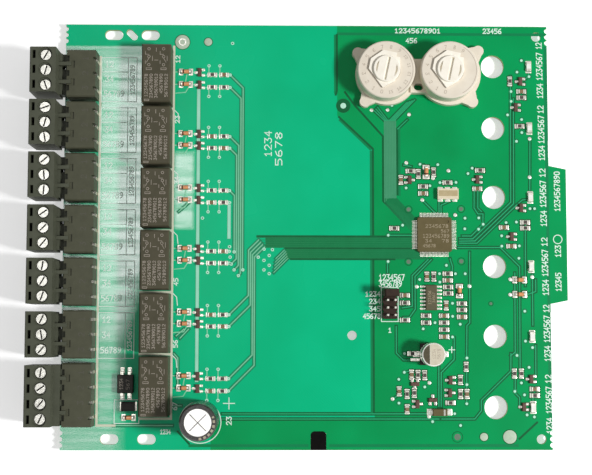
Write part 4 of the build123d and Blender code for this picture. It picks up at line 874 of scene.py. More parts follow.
VIAS = (
    (75.2, 61.6), (73.6, 57.5), (77.8, 55.9), (71.4, 50.6), (71.4, 47.1), (70.1, 42.3), (75, 40.7),
    (75, 36.1), (73.1, 33), (77.7, 33.9), (77.5, 20.4), (77.5, 9.4), (79.1, 9.4), (69.1, 4.5), (72.7, 4.7),
    (67.5, -0.1), (67.5, -3.7), (73.6, -3.6), (73.4, -7.9), (77.9, -14.4), (70.3, -15.2), (70.2, -20.5),
    (75.2, -26.2), (75.3, -36.5), (77.7, -38.7), (72.3, -41.4), (76.4, -45.5), (71.4, -53.7), (74.7, -54.9),
    (73.7, -50.8), (75.5, -61.7), (78, -62.4), (34.5, 25.3), (34.4, 16.5), (39.3, 24.8), (45.5, 24.7),
    (43.8, 19.9), (42.7, 17.3), (40, 12.3), (49.2, 22.6), (57.5, 23.5), (56, 21.6), (51.4, 7.1), (54.8, 6),
    (59.6, 6.1), (54.7, 2.3), (59.5, 2.2), (33.1, 3.5), (28.1, 0), (28, -9.1), (48.2, -10.4), (54.7, -13.3),
    (51.3, -13.3), (45.8, -13.3), (37.9, -17.8), (38.9, -15.3), (45.9, -16.2), (50.2, -23.5), (56.1, -17.6),
    (50.2, -28), (50.1, -35.1), (40, -32.3), (44.1, -30.2), (52.8, -30.7), (33.5, -40.8), (33.4, -47.2),
    (42, -50.8), (31.5, -49.6), (29.3, -56.3), (31.5, -57.7), (40.4, -52.2), (55, -42.3), (54.9, -51.4),
    (54.8, -57.9), (50.6, -61.3), (41.8, -62.3), (43, -64), (52.6, -65.3), (22.5, 43.8), (28.1, 43.9),
    (35.6, 42.3), (29.6, 45.5), (46.2, 18.4), (51.8, 18.5), (61.1, 3.9),
)
# Vias that are tinned rather than covered show as bright dots
BRIGHT_VIAS = (
    (34.5, 25.3), (49.2, 22.6), (43.8, 19.9), (40, 12.3), (51.4, 7.1), (37.9, -17.8), (56.1, -17.6),
    (42, -50.8), (29.3, -56.3), (41.8, -62.3), (77.5, 20.4), (77.7, 33.9), (70.2, -20.5), (70.3, -15.2),
    (77.9, -14.4), (22.5, 43.8), (28.1, 43.9), (35.6, 42.3),
)
# Bare test lands and fiducials: x, y, radius
LANDS = ((-43.6, 67.6, 2.5), (-34.6, 67.7, 1.35), (60.6, -69.2, 1.35), (69.5, -69.2, 2.3))
RING_LANDS = (
    (51.5, -69.2, 1.8), (63.5, -23.6, 0.8), (35.2, 9.0, 1.25), (53.5, 9.2, 1.25), (35.1, -9.2, 1.25),
    (53.4, -9.0, 1.25),
)
CORNER_LAND = (12.6, 45.3)
# Pads without a part
BARE_PADS = ((36.6, -42.9, 0), (38.3, -42.9, 0), (36.6, -41.0, 0))

# Placings of the small parts, the same as the CAD model's
LAMP_SIDE_CHIPS = (
    (71.0, 54.2, 90), (75.0, 50.6, 0), (75.0, 48.4, 0), (74.2, 38.3, 0), (68.3, 2.8, 0), (75.7, 4.6, 0),
    (75.7, 2.6, 0), (70.8, -3.7, 0), (71.3, -47.6, 90), (73.7, -47.6, 90), (78.2, -52.9, 0),
    (78.2, -55.1, 0),
)
SUPPLY_CHIPS = (
    (36.0, 22.4, 0), (32.6, 19.3, 90), (38.7, 21.4, 90), (40.3, 17.0, 0), (40.3, 14.6, 0), (48.8, 18.4, 0),
    (60.2, 22.7, 0), (59.2, 16.3, 0), (30.2, 2.4, 0), (44.0, 22.0, 90),
)
JUMPER_CHIPS = ((33.7, -20.8, 0), (33.7, -23.4, 0), (33.7, -29.3, 0))
AMP_CHIPS = (
    (41.4, -14.3, 90), (43.8, -14.3, 90), (48.6, -13.3, 0), (48.6, -15.6, 0), (48.7, -17.9, 0),
    (48.7, -20.1, 0), (48.0, -24.3, 90), (41.0, -27.8, 0), (41.0, -30.2, 0), (47.2, -27.8, 0),
    (47.2, -30.2, 0), (47.2, -32.6, 0), (47.2, -35.0, 0), (53.4, -23.6, 0), (53.4, -25.8, 0),
    (53.4, -28.2, 0),
)
LOWER_CHIPS = (
    (36.2, -40.8, 0), (54.7, -45.3, 90), (35.9, -48.0, 90), (38.1, -48.1, 90), (40.4, -48.2, 90),
    (31.6, -53.7, 90), (34.3, -54.6, 90), (36.8, -54.2, 90), (34.3, -59.8, 90), (52.7, -49.8, 90),
    (52.7, -54.6, 90), (54.9, -54.6, 90), (49.2, -57.6, 0),
)
DRIVER_CHIPS = tuple((x, y - CHIP_DROP, 0) for pair in DRIVER_ROWS for y in pair for x in DRIVER_CHIP_XS)
CHIPS = DRIVER_CHIPS + LAMP_SIDE_CHIPS + SUPPLY_CHIPS + JUMPER_CHIPS + AMP_CHIPS + LOWER_CHIPS
DIODES = tuple((DRIVER_DIODE_X, y, 0) for pair in DRIVER_ROWS for y in pair) + (
    (73.5, -15.4, 0), (73.5, -20.4, 0), (41.4, 22.1, 90), (52.6, -19.3, 90), (-60.9, -62.6, 0))
SOTS = tuple((DRIVER_SOT_X, y - 0.2, 180) for pair in DRIVER_ROWS for y in pair) + (
    (35.6, 19.3, 0), (70.9, -0.4, 180), (74.6, 54.1, 180), (72.9, 44.9, 180), (74.3, 9.6, 180),
    (77.0, -49.5, 180), (74.4, -59.0, 180), (49.2, -49.9, 180), (49.0, -54.2, 0), (37.8, -58.0, 0),
    (43.1, -56.6, 90), (37.0, -51.2, 270), (59.2, 19.5, 180))
# Labels up the right side, from the bottom: lower end, upper end, numerals
SIDE_LABELS = (
    (-67.9, -62.8, 4), (-61.1, -52.2, 7), (-50.8, -48.1, 2), (-43.3, -38.2, 4), (-36.8, -27.8, 7),
    (-26.5, -24.1, 2), (-20.6, -15.4, 4), (-14.0, -5.0, 7), (-3.6, -0.8, 2), (3.3, 8.6, 4), (10.0, 19.1, 7),
    (20.5, 23.3, 2), (26.4, 31.4, 4), (32.4, 42.0, 7), (43.0, 45.5, 2), (48.3, 53.3, 4), (54.7, 64.3, 7),
    (65.8, 67.9, 2),
)
# Tables of labels: how many numerals, where they start and end, their height and the first numeral
HEADER_LABELS = (
    (2, (-70.2, 5.0), (-67.6, 5.0), 1.9, 1), (2, (-70.2, -0.2), (-67.6, -0.2), 1.9, 3),
    (5, (-70.6, -5.4), (-63.8, -5.4), 1.9, 5), (9, (-60.9, -5.6), (-60.9, 4.6), 1.4, 1),
)
RIGHT_LABELS = (
    (11, (30.8, 72.0), (46.7, 72.0), 1.5, 1), (3, (34.7, 68.5), (38.5, 68.5), 1.6, 4),
    (5, (61.8, 72.0), (68.2, 72.0), 1.6, 2), (7, (24.9, -14.6), (33.6, -14.6), 1.9, 1),
    (7, (24.9, -16.8), (32.6, -16.8), 1.9, 3),
)
OTHER_LABELS = (
    (2, (-26.7, -65.0), (-26.7, -62.4), 1.6, 2), (10, (87.0, 8.6), (87.0, 22.3), 1.8, 1),
    (3, (87.0, -7.4), (87.0, -3.5), 1.8, 1), (5, (87.0, -19.2), (87.0, -13.0), 1.8, 1),
    (4, (-50.0, -67.4), (-46.6, -67.4), 1.4, 1), (4, (-13.6, 27.4), (-13.6, 36.2), 2.3, 1),
    (4, (-9.9, 24.4), (-9.9, 35.8), 2.2, 5),
)
MCU_LABELS = (
    (7, (40.9, 3.1), (48.7, 3.1), 1.1, 2), (3, (46.3, 1.4), (49.0, 1.4), 0.9, 5),
    (9, (40.0, -0.3), (49.0, -0.3), 1.2, 1), (2, (40.8, -2.0), (43.0, -2.0), 1.0, 3),
    (2, (46.6, -2.0), (48.9, -2.0), 1.0, 7), (5, (40.0, -3.7), (44.3, -3.7), 1.0, 4),
)
RECTIFIER_LABELS = ((4, (-63.2, -52.9), (-63.2, -49.3), 1.1, 1), (3, (-61.0, -52.9), (-61.0, -49.6), 1.1, 5))
# Beside each jumper row: how many numerals, and where they start
JUMPER_LABELS = ((4, 20.2), (3, 21.5), (3, 21.5), (5, 19.4))
# Down each relay's case: how many numerals a column has, and where they start
CASE_LABELS = ((8, -8.2), (9, -8.6), (10, -8.6), (7, -7.0), (8, -8.2))


# Places worked out from the parts
def spun(x, y, turn, points):
    """Points of a part turned in degrees and moved to its place."""
    cosine, sine = math.cos(math.radians(turn)), math.sin(math.radians(turn))
    return [(x + px * cosine - py * sine, y + px * sine + py * cosine) for px, py in points]


def end_places(parts, length, end):
    """The middle of every metal end, with its part's turn."""
    places, turns = [], []
    for x, y, turn in parts:
        for px, py in spun(x, y, turn, [(side * (length - end) / 2, 0) for side in (-1, 1)]):
            places.append((px, py, 0))
            turns.append(turn)
    return places, turns


def sot_feet():
    """The tip of every transistor lead, with its turn."""
    places, turns = [], []
    tips = [(SOT_SPAN / 2, 0), (-SOT_SPAN / 2, SOT_PITCH / 2), (-SOT_SPAN / 2, -SOT_PITCH / 2)]
    for x, y, turn in SOTS:
        for px, py in spun(x, y, turn, tips):
            places.append((px, py, 0))
            turns.append(turn)
    return places, turns


def row_feet(middle, reach, count, pitch, sides):
    """The foot of every gull-wing lead round a chip, with its turn."""
    places, turns = [], []
    for turn in sides:
        ends = [(reach, (index - (count - 1) / 2) * pitch) for index in range(count)]
        for px, py in spun(*middle, turn, ends):
            places.append((px, py, 0))
            turns.append(turn)
    return places, turns


def around(middle, xs, ys=(0,)):
    """The places at every x and y from a middle."""
    return [(middle[0] + x, middle[1] + y, 0) for x in xs for y in ys]


def poured(places, turns):
    """Those places that lie in the copper area, with their turns."""
    keep = [index for index, place in enumerate(places) if place[0] > POUR_XS[1]]
    return [places[index] for index in keep], [turns[index] for index in keep]


def relay_pins():
    """The x and y of every relay pin."""
    return [(RELAY_X + side * RELAY_PIN_X, y + offset) for y in RELAY_YS for offset in RELAY_PIN_YS
            for side in (-1, 1)]


def pole_ys(y, poles):
    """The y of each pole of a terminal block, from the top down."""
    return [y + ((poles - 1) / 2 - index) * POLE_PITCH for index in range(poles)]


def through_pins():
    """Every pin that goes through the board."""
    legs = [(HEADER_LEG_X, pole) for y, poles in zip(HEADER_YS, HEADER_POLES) for pole in pole_ys(y, poles)]
    switch = [(x + offset, SWITCH_Y + side * SWITCH_PIN_Y) for x in SWITCH_XS for offset in SWITCH_PIN_XS
              for side in (-1, 1)]
    jumper = [(x, y) for x in JUMPER_XS for y in JUMPER_YS]
    can = [(CAN_AT[0] + side * CAN_PIN_X, CAN_AT[1]) for side in (-1, 1)]
    return relay_pins() + legs + switch + jumper + can


# Settings
def colour_property(name, description, code):
    """A colour that a user may change, given as sRGB hex."""
    return bpy.props.FloatVectorProperty(name=name, description=description, subtype="COLOR", size=3,
                                         min=0.0, max=1.0, default=linear(code)[:3])


def size_property(name, description, value):
    """A length in metres, given in millimetres."""
    return bpy.props.FloatProperty(name=name, description=description, unit="LENGTH", subtype="DISTANCE",
                                   default=value * MM, precision=5)


class BoardSettings(bpy.types.PropertyGroup):
    """Colours and track sizes of the circuit board."""
    mask_colour: colour_property("Mask", "Mask over bare laminate", "#00B27A")
    mask_second: colour_property("Mask patches", "Second shade of the mask over bare laminate", "#02B981")
    pour_colour: colour_property("Copper area", "Mask over the copper area", "#009955")
    pour_second: colour_property("Copper patches", "Second shade of the mask over the copper area", "#008D4C")
    track_width: size_property("Track width", "Width of a signal track", 0.34)
    halo_width: size_property("Gap width", "Width of the dark gap on both sides of a track", 1.2)
    ink_width: size_property("Ink width", "Width of a printed line", 0.28)


class SwitchSettings(bpy.types.PropertyGroup):
    """Sizes of the numerals on the two switch drums."""
    numeral_height: size_property("Numeral height", "Height of a numeral on the drum", 1.15)
    numeral_radius: size_property("Numeral circle", "Radius of the circle that the numerals stand on", 7.9)


class StageSettings(bpy.types.PropertyGroup):
    """Camera and lights."""
    lens: bpy.props.FloatProperty(name="Lens", description="Focal length on a 36 mm wide sensor",
                                  default=73.152, min=20.0, max=200.0)
    key: bpy.props.FloatProperty(name="Key power", description="Power of the lamp at the right",
                                 default=6.6, min=0.0)
    fill: bpy.props.FloatProperty(name="Fill", description="Strength of the light from all round",
                                  default=0.32, min=0.0)
    window: bpy.props.FloatProperty(name="Window", description="Brightness of the window's panes",
                                    default=5.0, min=0.0)


# Board
class DressBoard(bpy.types.Operator):
    """Mask, cut edges and the resin in the notch"""
    bl_idname = "module.dress_board"
    bl_label = "Board"

    def execute(self, context):
        dress("board_mask", "circuit_board")
        dress("insert", "edge_insert")
        return {"FINISHED"}


class AddTracks(bpy.types.Operator):
    """Copper tracks under the mask, each a ribbon carried along its path over a wider dark gap"""
    bl_idname = "module.add_tracks"
    bl_label = "Tracks"

    def execute(self, context):
        settings = context.scene.board_settings
        width, halo = settings.track_width / MM, settings.halo_width / MM
        columns = upper_columns() + lower_columns()
        poured_paths = POUR_TRACKS + EDGE_TRACKS + switch_leads()
        signals = columns + PALE_TRACKS + SUPPLY_TRACKS + row_starts()
        strips("bundle_band", BUNDLE_BAND, BUNDLE_WIDTH, BAND_TOP, "bundle_band")
        strips("row_bands", ROW_BANDS, ROW_BAND_WIDTH, BAND_TOP, "row_band")
        strips("slope_band", SLOPE_BAND, SLOPE_BAND_WIDTH, SLOPE_TOP, "row_band")
        # The board's margins, and a soft band of painted shade beside the copper area's edges
        strips("margin_gaps_and_edge_shade", MARGINS_AND_EDGE_SHADE, MARGIN_WIDTH, BAND_TOP, "soft_gap_and_shade")
        strips("border_gaps", BORDERS, BORDER_WIDTH, BORDER_TOP, "gap")
        strips("track_gaps", poured_paths, halo, GAP_TOP, "gap")
        strips("signal_gaps", signals, halo + SIGNAL_GAP_MORE, SIGNAL_GAP_TOP, "signal_gap")
        strips("bundle_tracks", switch_bundle(), FINE_WIDTH, TRACK_TOP, "bundle_track")
        strips("slope_tracks", bundle_slope(), FINE_WIDTH, TRACK_TOP, "row_track")
        strips("row_tracks", row_bus(), ROW_WIDTH, TRACK_TOP, "row_track")
        strips("column_tracks", columns, COLUMN_WIDTH, COLUMN_TOP, "column")
        strips("column_edges", columns + row_starts(), FINE_WIDTH, TRACK_TOP, "pale_track")
        strips("signal_tracks", driver_tracks() + PALE_TRACKS, width, TRACK_TOP, "pale_track")
        strips("pour_tracks", poured_paths, width, TRACK_TOP, "pour_track")
        strips("supply_tracks", SUPPLY_TRACKS, SUPPLY_WIDTH, SUPPLY_TOP, "wide_track")
        return {"FINISHED"}


class AddVias(bpy.types.Operator):
    """Vias, test lands and ringed lands: closed rings turned about upright axes"""
    bl_idname = "module.add_vias"
    bl_label = "Vias and lands"

    def execute(self, context):
        groups = [(DRIVER_VIA_X, y - CHIP_DROP) for pair in DRIVER_ROWS for y in pair]
        groups += [(x, y - CHIP_DROP + side * 3.2) for upper, lower in DRIVER_ROWS
                   for y, side in ((upper, 1), (lower, -1)) for x in STUB_XS]
        field = [(x, y, 0) for x, y in groups + FIELD_VIAS]
        covered = [(x, y, 0) for x, y in VIAS if (x, y) not in BRIGHT_VIAS]
        bright = [(x, y, 0) for x, y in BRIGHT_VIAS]
        poured_vias = [(x, y, 0) for x, y in VIAS if x > POUR_XS[1]]
        ring = [(0.2, SUNK), (0.6, SUNK), (0.54, PAD_TOP), (0.24, PAD_TOP)]
        spot = round_rings([(0.5, SUNK), (0.46, 0.03), (0.2, 0.045)], 12)
        dot = round_rings([(0.66, SUNK), (0.62, PAD_TOP), (0.3, PAD_TOP + 0.05)], 12)
        barrel = round_rings([(0.23, SUNK), (0.23, SPOT_TOP)], 10)
        make_piece("via_clearances", turned(flat_ring(0.3, 0.95, RIM_TOP), poured_vias, 14), "soft_gap_and_shade")
        make_piece("open_vias", turned(ring, field, 12), "collar", smooth=True)
        make_piece("via_barrels", loft(barrel, field), "barrel")
        make_piece("covered_vias", loft(spot, covered), "collar", smooth=True)
        make_piece("tinned_vias", loft(dot, bright), "solder", smooth=True)
        self.add_lands()
        return {"FINISHED"}

    @staticmethod
    def add_lands():
        """Bare test lands, ringed lands and the land by the copper area's corner."""
        lands, rims, eyes = [], [], []
        for x, y, r in LANDS:
            dome = [(r, SUNK), (r, LAND_TOP), (r - 0.12, PAD_TOP + 0.03), (0.3 * r, PAD_TOP + 0.05)]
            lands.append(loft(round_rings(dome, 40), [(x, y, 0)]))
        for x, y, r in [(x, y, r + 0.15) for x, y, r in LANDS] + list(RING_LANDS):
            gap = [(r - 0.12, SUNK), (r + 0.12, SUNK), (r + 0.1, LAND_TOP), (r - 0.1, LAND_TOP)]
            rims.append(turned(gap, [(x, y, 0)], 36))
        for x, y, r in RING_LANDS:
            eyes.append(loft(round_rings([(0.62 * r, SUNK), (0.6 * r, SPOT_TOP)], 20), [(x, y, 0)]))
        first = [(*LANDS[0][:2], 0)]
        corner = [(*CORNER_LAND, 0)]
        bead = [(0.8, 0.02), (1.4, 0.02), (1.3, 0.14), (0.9, 0.14)]
        cover = round_rings([(1.0, SUNK), (1.0, 0.03), (0.7, PAD_TOP)], 32)
        make_piece("test_lands", joined(lands), "dull_tin", smooth=True)
        make_piece("land_rim", turned(bead, first, 32), "solder", smooth=True)
        make_piece("land_clearances", joined(rims), "gap", smooth=True)
        make_piece("ringed_lands", joined(eyes), "fiducial", smooth=True)
        make_piece("corner_land_gap", turned(flat_ring(1.0, 2.5, SPOT_TOP), corner, 40), "gap")
        make_piece("corner_land", loft(cover, corner), "collar", smooth=True)


def flat_ring(inner, outer, high):
    """A flat ring's outline for turning: radius and height of its four corners."""
    return [(inner, SUNK), (outer, SUNK), (outer, high), (inner, high)]


def pad_rings(half_x, half_y):
    """A shallow tinned pad with bevelled edges."""
    return square_rings([(half_x, half_y, 0.12, SUNK), (half_x, half_y, 0.12, 0.03),
                         (half_x - 0.08, half_y - 0.08, 0.1, PAD_TOP)], 3)


def clearance_rings(half_x, half_y):
    """The dark gap round a pad in the copper area."""
    return square_rings([(half_x, half_y, 0.3, SUNK), (half_x, half_y, 0.3, RIM_TOP)], 3)


def fillet_rings(half_x, half_y, reach, height):
    """A concave fillet: its reach falls as the square of the share still to climb."""
    return square_rings([(half_x + reach * (1 - s) ** 2, half_y + 0.5 * reach * (1 - s) ** 2,
                          0.12 + 0.1 * (1 - s), 0.02 + height * s) for s in np.linspace(0, 1, 5)], 3)


class AddPads(bpy.types.Operator):
    """Tinned pads under every foot: shallow lofted lozenges, and concave fillets against the metal ends"""
    bl_idname = "module.add_pads"
    bl_label = "Pads and solder"

    def execute(self, context):
        lamps = [(LAMP_X, y, 90) for y in WINDOW_YS]
        chip_pads = end_places(CHIPS, CHIP_L + 0.5, CHIP_END)
        diode_pads = end_places(DIODES, MELF_L + 0.5, MELF_END)
        four_sides, two_sides = (0, 90, 180, 270), (0, 180)
        pads = [loft(pad_rings(0.62, 0.78), *chip_pads),
                loft(pad_rings(0.75, 1.15), *diode_pads),
                loft(pad_rings(0.7, 1.0), *end_places(lamps, LAMP_L + 0.6, LAMP_END)),
                loft(pad_rings(0.55, 0.42), *sot_feet()),
                loft(pad_rings(0.75, 0.14), *row_feet(MCU_AT, 6.9, MCU_LEADS, MCU_PITCH, four_sides)),
                loft(pad_rings(0.85, 0.34), *row_feet(AMP_AT, 2.85, AMP_LEADS, AMP_PITCH, two_sides)),
                loft(pad_rings(1.5, 0.95), around(SMALL_CAN_AT, (-4.6, 4.6))),
                loft(pad_rings(1.1, 1.1), around(POWER_DIODE_AT, (-3.2, 3.2))),
                loft(pad_rings(0.7, 1.0), around(RECTIFIER_AT, (-1.25, 1.25), (-4.5, 4.5))),
                loft(pad_rings(0.6, 1.5), around(CHOKE_AT, (-2.3, 2.3))),
                loft(pad_rings(0.85, 0.6), around(RESONATOR_AT, (-2.5, 0, 2.5), (-1.95, 1.95))),
                loft(pad_rings(0.45, 1.0), BARE_PADS, (90, 90, 90))]
        gaps = [loft(clearance_rings(0.98, 1.12), *poured(*chip_pads)),
                loft(clearance_rings(1.1, 1.5), *poured(*diode_pads)),
                loft(clearance_rings(0.85, 0.75), *poured(*sot_feet()))]
        chip_end = fillet_rings(CHIP_END / 2 + 0.04, CHIP_W / 2 + 0.04, 0.34, 0.42)
        diode_end = fillet_rings(MELF_END / 2 + 0.04, 0.55, 0.42, 0.5)
        lamp_end = fillet_rings(LAMP_END / 2 + 0.03, LAMP_W / 2 + 0.03, 0.3, 0.5)
        mcu_lead, amp_lead = fillet_rings(0.3, 0.12, 0.16, 0.16), fillet_rings(0.32, 0.22, 0.26, 0.2)
        fillets = [loft(chip_end, *end_places(CHIPS, CHIP_L, CHIP_END)),
                   loft(diode_end, *end_places(DIODES, MELF_L, MELF_END)),
                   loft(lamp_end, *end_places(lamps, LAMP_L, LAMP_END)),
                   loft(fillet_rings(0.2, 0.22, 0.26, 0.2), *sot_feet()),
                   loft(mcu_lead, *row_feet(MCU_AT, 6.85, MCU_LEADS, MCU_PITCH, four_sides)),
                   loft(amp_lead, *row_feet(AMP_AT, 2.85, AMP_LEADS, AMP_PITCH, two_sides)),
                   loft(fillet_rings(0.4, 0.55, 0.5, 0.32), around(SMALL_CAN_AT, (-5.0, 5.0))),
                   loft(fillet_rings(0.4, 0.7, 0.4, 0.3), around(POWER_DIODE_AT, (-3.4, 3.4))),
                   loft(fillet_rings(0.3, 0.45, 0.35, 0.3), around(RECTIFIER_AT, (-1.25, 1.25), (-4.6, 4.6)),
                        (90, 90, 90, 90))]
        make_piece("tinned_pads", joined(pads), "tin", smooth=True)
        make_piece("pad_clearances", joined(gaps), "gap")
        make_piece("solder_fillets", joined(fillets), "solder", smooth=True)
        return {"FINISHED"}


class AddUnderside(bpy.types.Operator):
    """Plated lands and concave solder cones round every pin under the board"""
    bl_idname = "module.add_underside"
    bl_label = "Underside joints"

    def execute(self, context):
        pins = [(x, y, -BOARD_T) for x, y in through_pins()]
        lands = round_rings([(1.05, -0.04), (1.1, -0.02), (1.1, 0.02)], 16)
        cone = round_rings([(0.36 + 0.62 * s ** 2, -1.35 + 1.32 * s) for s in np.linspace(0, 1, 6)], 16)
        make_piece("underside_lands", loft(lands, pins), "tin", smooth=True)
        make_piece("underside_solder", loft(cone, pins), "solder", smooth=True)
        return {"FINISHED"}


class AddPrint(bpy.types.Operator):
    """White printed lines, boxes, signs and plain numerals, each a ribbon of ink"""
    bl_idname = "module.add_print"
    bl_label = "Board print"

    def execute(self, context):
        outlines = [[(-72.0, 62.1), (-71.8, -65.3), (-65.7, -65.3)],
                    [(-46.5, 65.9), (-46.5, -63.0), (-57.0, -63.0)]]
        outlines += [[(-57.3, y - 10.6), (-46.5, y - 10.6)] for y in RELAY_YS[:-1]]
        strips("relay_outlines", outlines, OUTLINE_WIDTH, INK_TOP, "cream_ink")
        strips("print_lines", self.lines(), context.scene.board_settings.ink_width / MM, INK_TOP, "ink")
        strips("print_numerals", self.numbers(), NUMERAL_WIDTH, INK_TOP, "ink")
        return {"FINISHED"}

    @staticmethod
    def lines():
        """Boxes, signs, circles and bent lines."""
        lines = []
        # Boxes beside the headers, with a narrow column for the relay's number
        for index, y in enumerate(HEADER_YS[:6]):
            lines += [box_path(-71.6, y - 8.2, -59.4, y + 7.4), [(-62.4, y - 8.2), (-62.4, y + 7.4)]]
            if index < 4:
                lines.append([(-71.6, y + 2.3), (-62.7, y + 2.3)])
        lines += [box_path(-65.8, -64.6, -57.4, -56.6), box_path(25.6, -18.1, 31.4, -29.8)]
        lines += [[(-28.6, -57.8), (-24.8, -57.8)], [(-26.7, -55.9), (-26.7, -59.7)],
                  [(48.8, -39.5), (50.8, -39.5)], [(49.8, -38.5), (49.8, -40.5)]]
        lines += [arc(CAN_AT[0] - 0.5, CAN_AT[1] - 1.4, 7.1, 0, 360, 49), arc(87.0, -1.3, 1.5, 0, 360, 25)]
        # Bent lines that lead from each relay's corner to its driver parts
        lines += [[(-46.3, y + 10.4), (-44.9, y + 9.0), (-44.6, y + 6.2)] for y in RELAY_YS[1:]]
        return lines

    @staticmethod
    def numbers():
        """Plain numerals where the board carries its print."""
        paths = []
        for y in HEADER_YS[:6]:
            paths += labels(HEADER_LABELS, y)
        for index, y in enumerate(RELAY_YS):
            middle = y + 7.0 - (14.0 if index > 2 else 0)
            paths += label(2, (-45.2, middle - 1.2), (-45.2, middle + 1.2), 1.4, index + 1)
        # Labels up the right side: three for each window, on a line that leans a little
        for (low, high, count), share in zip(SIDE_LABELS, np.linspace(0, 1, len(SIDE_LABELS))):
            x = 83.2 - 1.9 * share
            paths += label(count, (x, low), (x, high), 1.9)
        paths += labels(RIGHT_LABELS)
        for row, (count, left) in enumerate(JUMPER_LABELS):
            y = JUMPER_YS[row] - 0.3
            paths += label(count, (left, y), (25.2, y), 1.6, row + 1)
        return paths + numerals("1", 28.5, -32.8, 1.5) + labels(OTHER_LABELS)


# Parts
class DressBlocks(bpy.types.Operator):
    """Headers, plugs, clamps and pins, with moulded pole numerals on the headers"""
    bl_idname = "module.dress_blocks"
    bl_label = "Terminal blocks"

    def execute(self, context):
        numbers = range(1, len(HEADER_YS) + 1)
        dress("block_plastic", *[f"terminal_header_{n}" for n in numbers])
        dress("plug_plastic", *[f"terminal_plug_{n}" for n in numbers])
        dress("zinc", *[f"plug_clamps_{n}" for n in numbers])
        dress("tin", "header_pins")
        strokes = []
        for y, poles in zip(HEADER_YS, HEADER_POLES):
            for number, pole in enumerate(pole_ys(y, poles), 1):
                strokes += numerals(str(number), -76.0, pole, 1.8, 90)
        strips("moulded_pole_numerals", strokes, 0.22, HEADER_TOP + 0.02, "block_relief", HEADER_TOP - 0.05)
        # Each screw slot gets a dark sheet of painted shadow on its bottom
        slot = square_rings([(1.5, 0.24, 0.02, SLOT_FLOOR - 0.02), (1.5, 0.24, 0.02, SLOT_FLOOR + 0.03)], 2)
        for number, (y, turns) in enumerate(zip(HEADER_YS, SCREW_TURNS), 1):
            places = [(SCREW_X, pole, 0) for pole in pole_ys(y, len(turns))]
            shades = loft(slot, places, turns)
            make_piece(f"slot_shades_{number}", shades, "slot_shade", body=f"plug_{number}")
        return {"FINISHED"}


class DressRelays(bpy.types.Operator):
    """Relay cases with a printed contact diagram and plain numerals"""
    bl_idname = "module.dress_relays"
    bl_label = "Relays"

    def execute(self, context):
        dress("relay_case", *[f"relay_{n}" for n in range(1, 7)])
        dress("tin", "relay_pins")
        paths = []
        for y in RELAY_YS:
            for side in (-1, 1):
                x = RELAY_X + side * 2.5
                paths += [arc(x, y + level, 0.45, 0, 360, 9) for level in (8.3, 5.6, 2.8)]
                paths += [[(x - 1.2, y + 7.4), (x - 1.2, y + 6.4), (x, y + 6.4)],
                          [(x, y + 5.1), (x + side * 0.8, y + 3.7)],
                          [(x + 1.2, y + 4.2), (x + 1.2, y + 5.8)], [(x - 1.2, y + 4.2), (x - 1.2, y + 3.2)],
                          box_path(x - 0.9, y + 1.1, x + 0.9, y + 1.7)]
            paths += [[(RELAY_X, y + 8.6), (RELAY_X, y + 7.4)],
                      [(RELAY_X - 0.6, y + 4.4), (RELAY_X + 0.6, y + 4.4)]]
            for column, (count, low) in enumerate(CASE_LABELS):
                x = RELAY_X - 3.4 + 1.7 * column
                paths += label(count, (x, y + low), (x, y - 0.4), 0.95, column + 1)
            paths += [box_path(RELAY_X - 3.9, y - 9.6, RELAY_X - 2.4, y - 9.1)]
        strips("relay_print", paths, 0.15, RELAY_TOP + 0.02, "case_ink", RELAY_TOP - 0.02)
        return {"FINISHED"}


class DressSwitches(bpy.types.Operator):
    """Switch moulding and rotors, with numerals round each drum"""
    bl_idname = "module.dress_switches"
    bl_label = "Address switches"

    def execute(self, context):
        settings = context.scene.switch_settings
        height, radius = settings.numeral_height / MM, settings.numeral_radius / MM
        dress("cream", "switch_housing")
        dress("rotor", "tens_dial", "units_dial")
        dress("brass", "switch_contacts")
        strokes = []
        for x, count in zip(SWITCH_XS, DRUM_COUNTS):
            for number in range(count):
                angle = DRUM_START - DRUM_STEP * number
                cosine, sine = math.cos(math.radians(angle)), math.sin(math.radians(angle))
                size = height if number < 10 else height * 0.8
                upright = angle + 90 if sine < 0 else angle - 90
                strokes += numerals(str(number), x + radius * cosine, SWITCH_Y + radius * sine, size, upright)
        # Painted shade: a grey arc round the right side of each drum, outside its numerals
        shades = [arc(x, SWITCH_Y, 9.1, -62, 58, 25) for x in SWITCH_XS]
        strips("drum_shade_arcs", shades, 0.16, DRUM_TOP + 0.02, "numeral", DRUM_TOP - 0.05)
        strips("drum_numerals", strokes, 0.15, DRUM_TOP + 0.03, "numeral", DRUM_TOP - 0.05)
        return {"FINISHED"}


class DressChips(bpy.types.Operator):
    """Controller, amplifier and resonator, with pale laser marks"""
    bl_idname = "module.dress_chips"
    bl_label = "Chips"

    def execute(self, context):
        dress("epoxy_brown", "microcontroller")
        dress("epoxy_olive", "amplifier_chip")
        dress("tin", "microcontroller_leads", "amplifier_leads")
        dress("ceramic", "resonator")
        strips("controller_marks", labels(MCU_LABELS), 0.14, MCU_TOP + 0.01, "laser", MCU_TOP - 0.02)
        x, y = RESONATOR_AT
        low, high = RESONATOR_TOP - 0.02, RESONATOR_TOP + 0.02
        cap = square_rings([(3.3, 1.0, 0.2, low), (3.3, 1.0, 0.2, high)], 3)
        make_piece("resonator_cap", loft(cap, [(x, y + 0.2, 0)]), "tan")
        x, y = AMP_AT
        marks = numerals(counting(6), x - 0.6, y, 0.9, 90) + numerals(counting(5, 3), x + 0.8, y, 0.8, 90)
        strips("amplifier_marks", marks, 0.11, AMP_TOP + 0.01, "laser", AMP_TOP - 0.02)
        return {"FINISHED"}


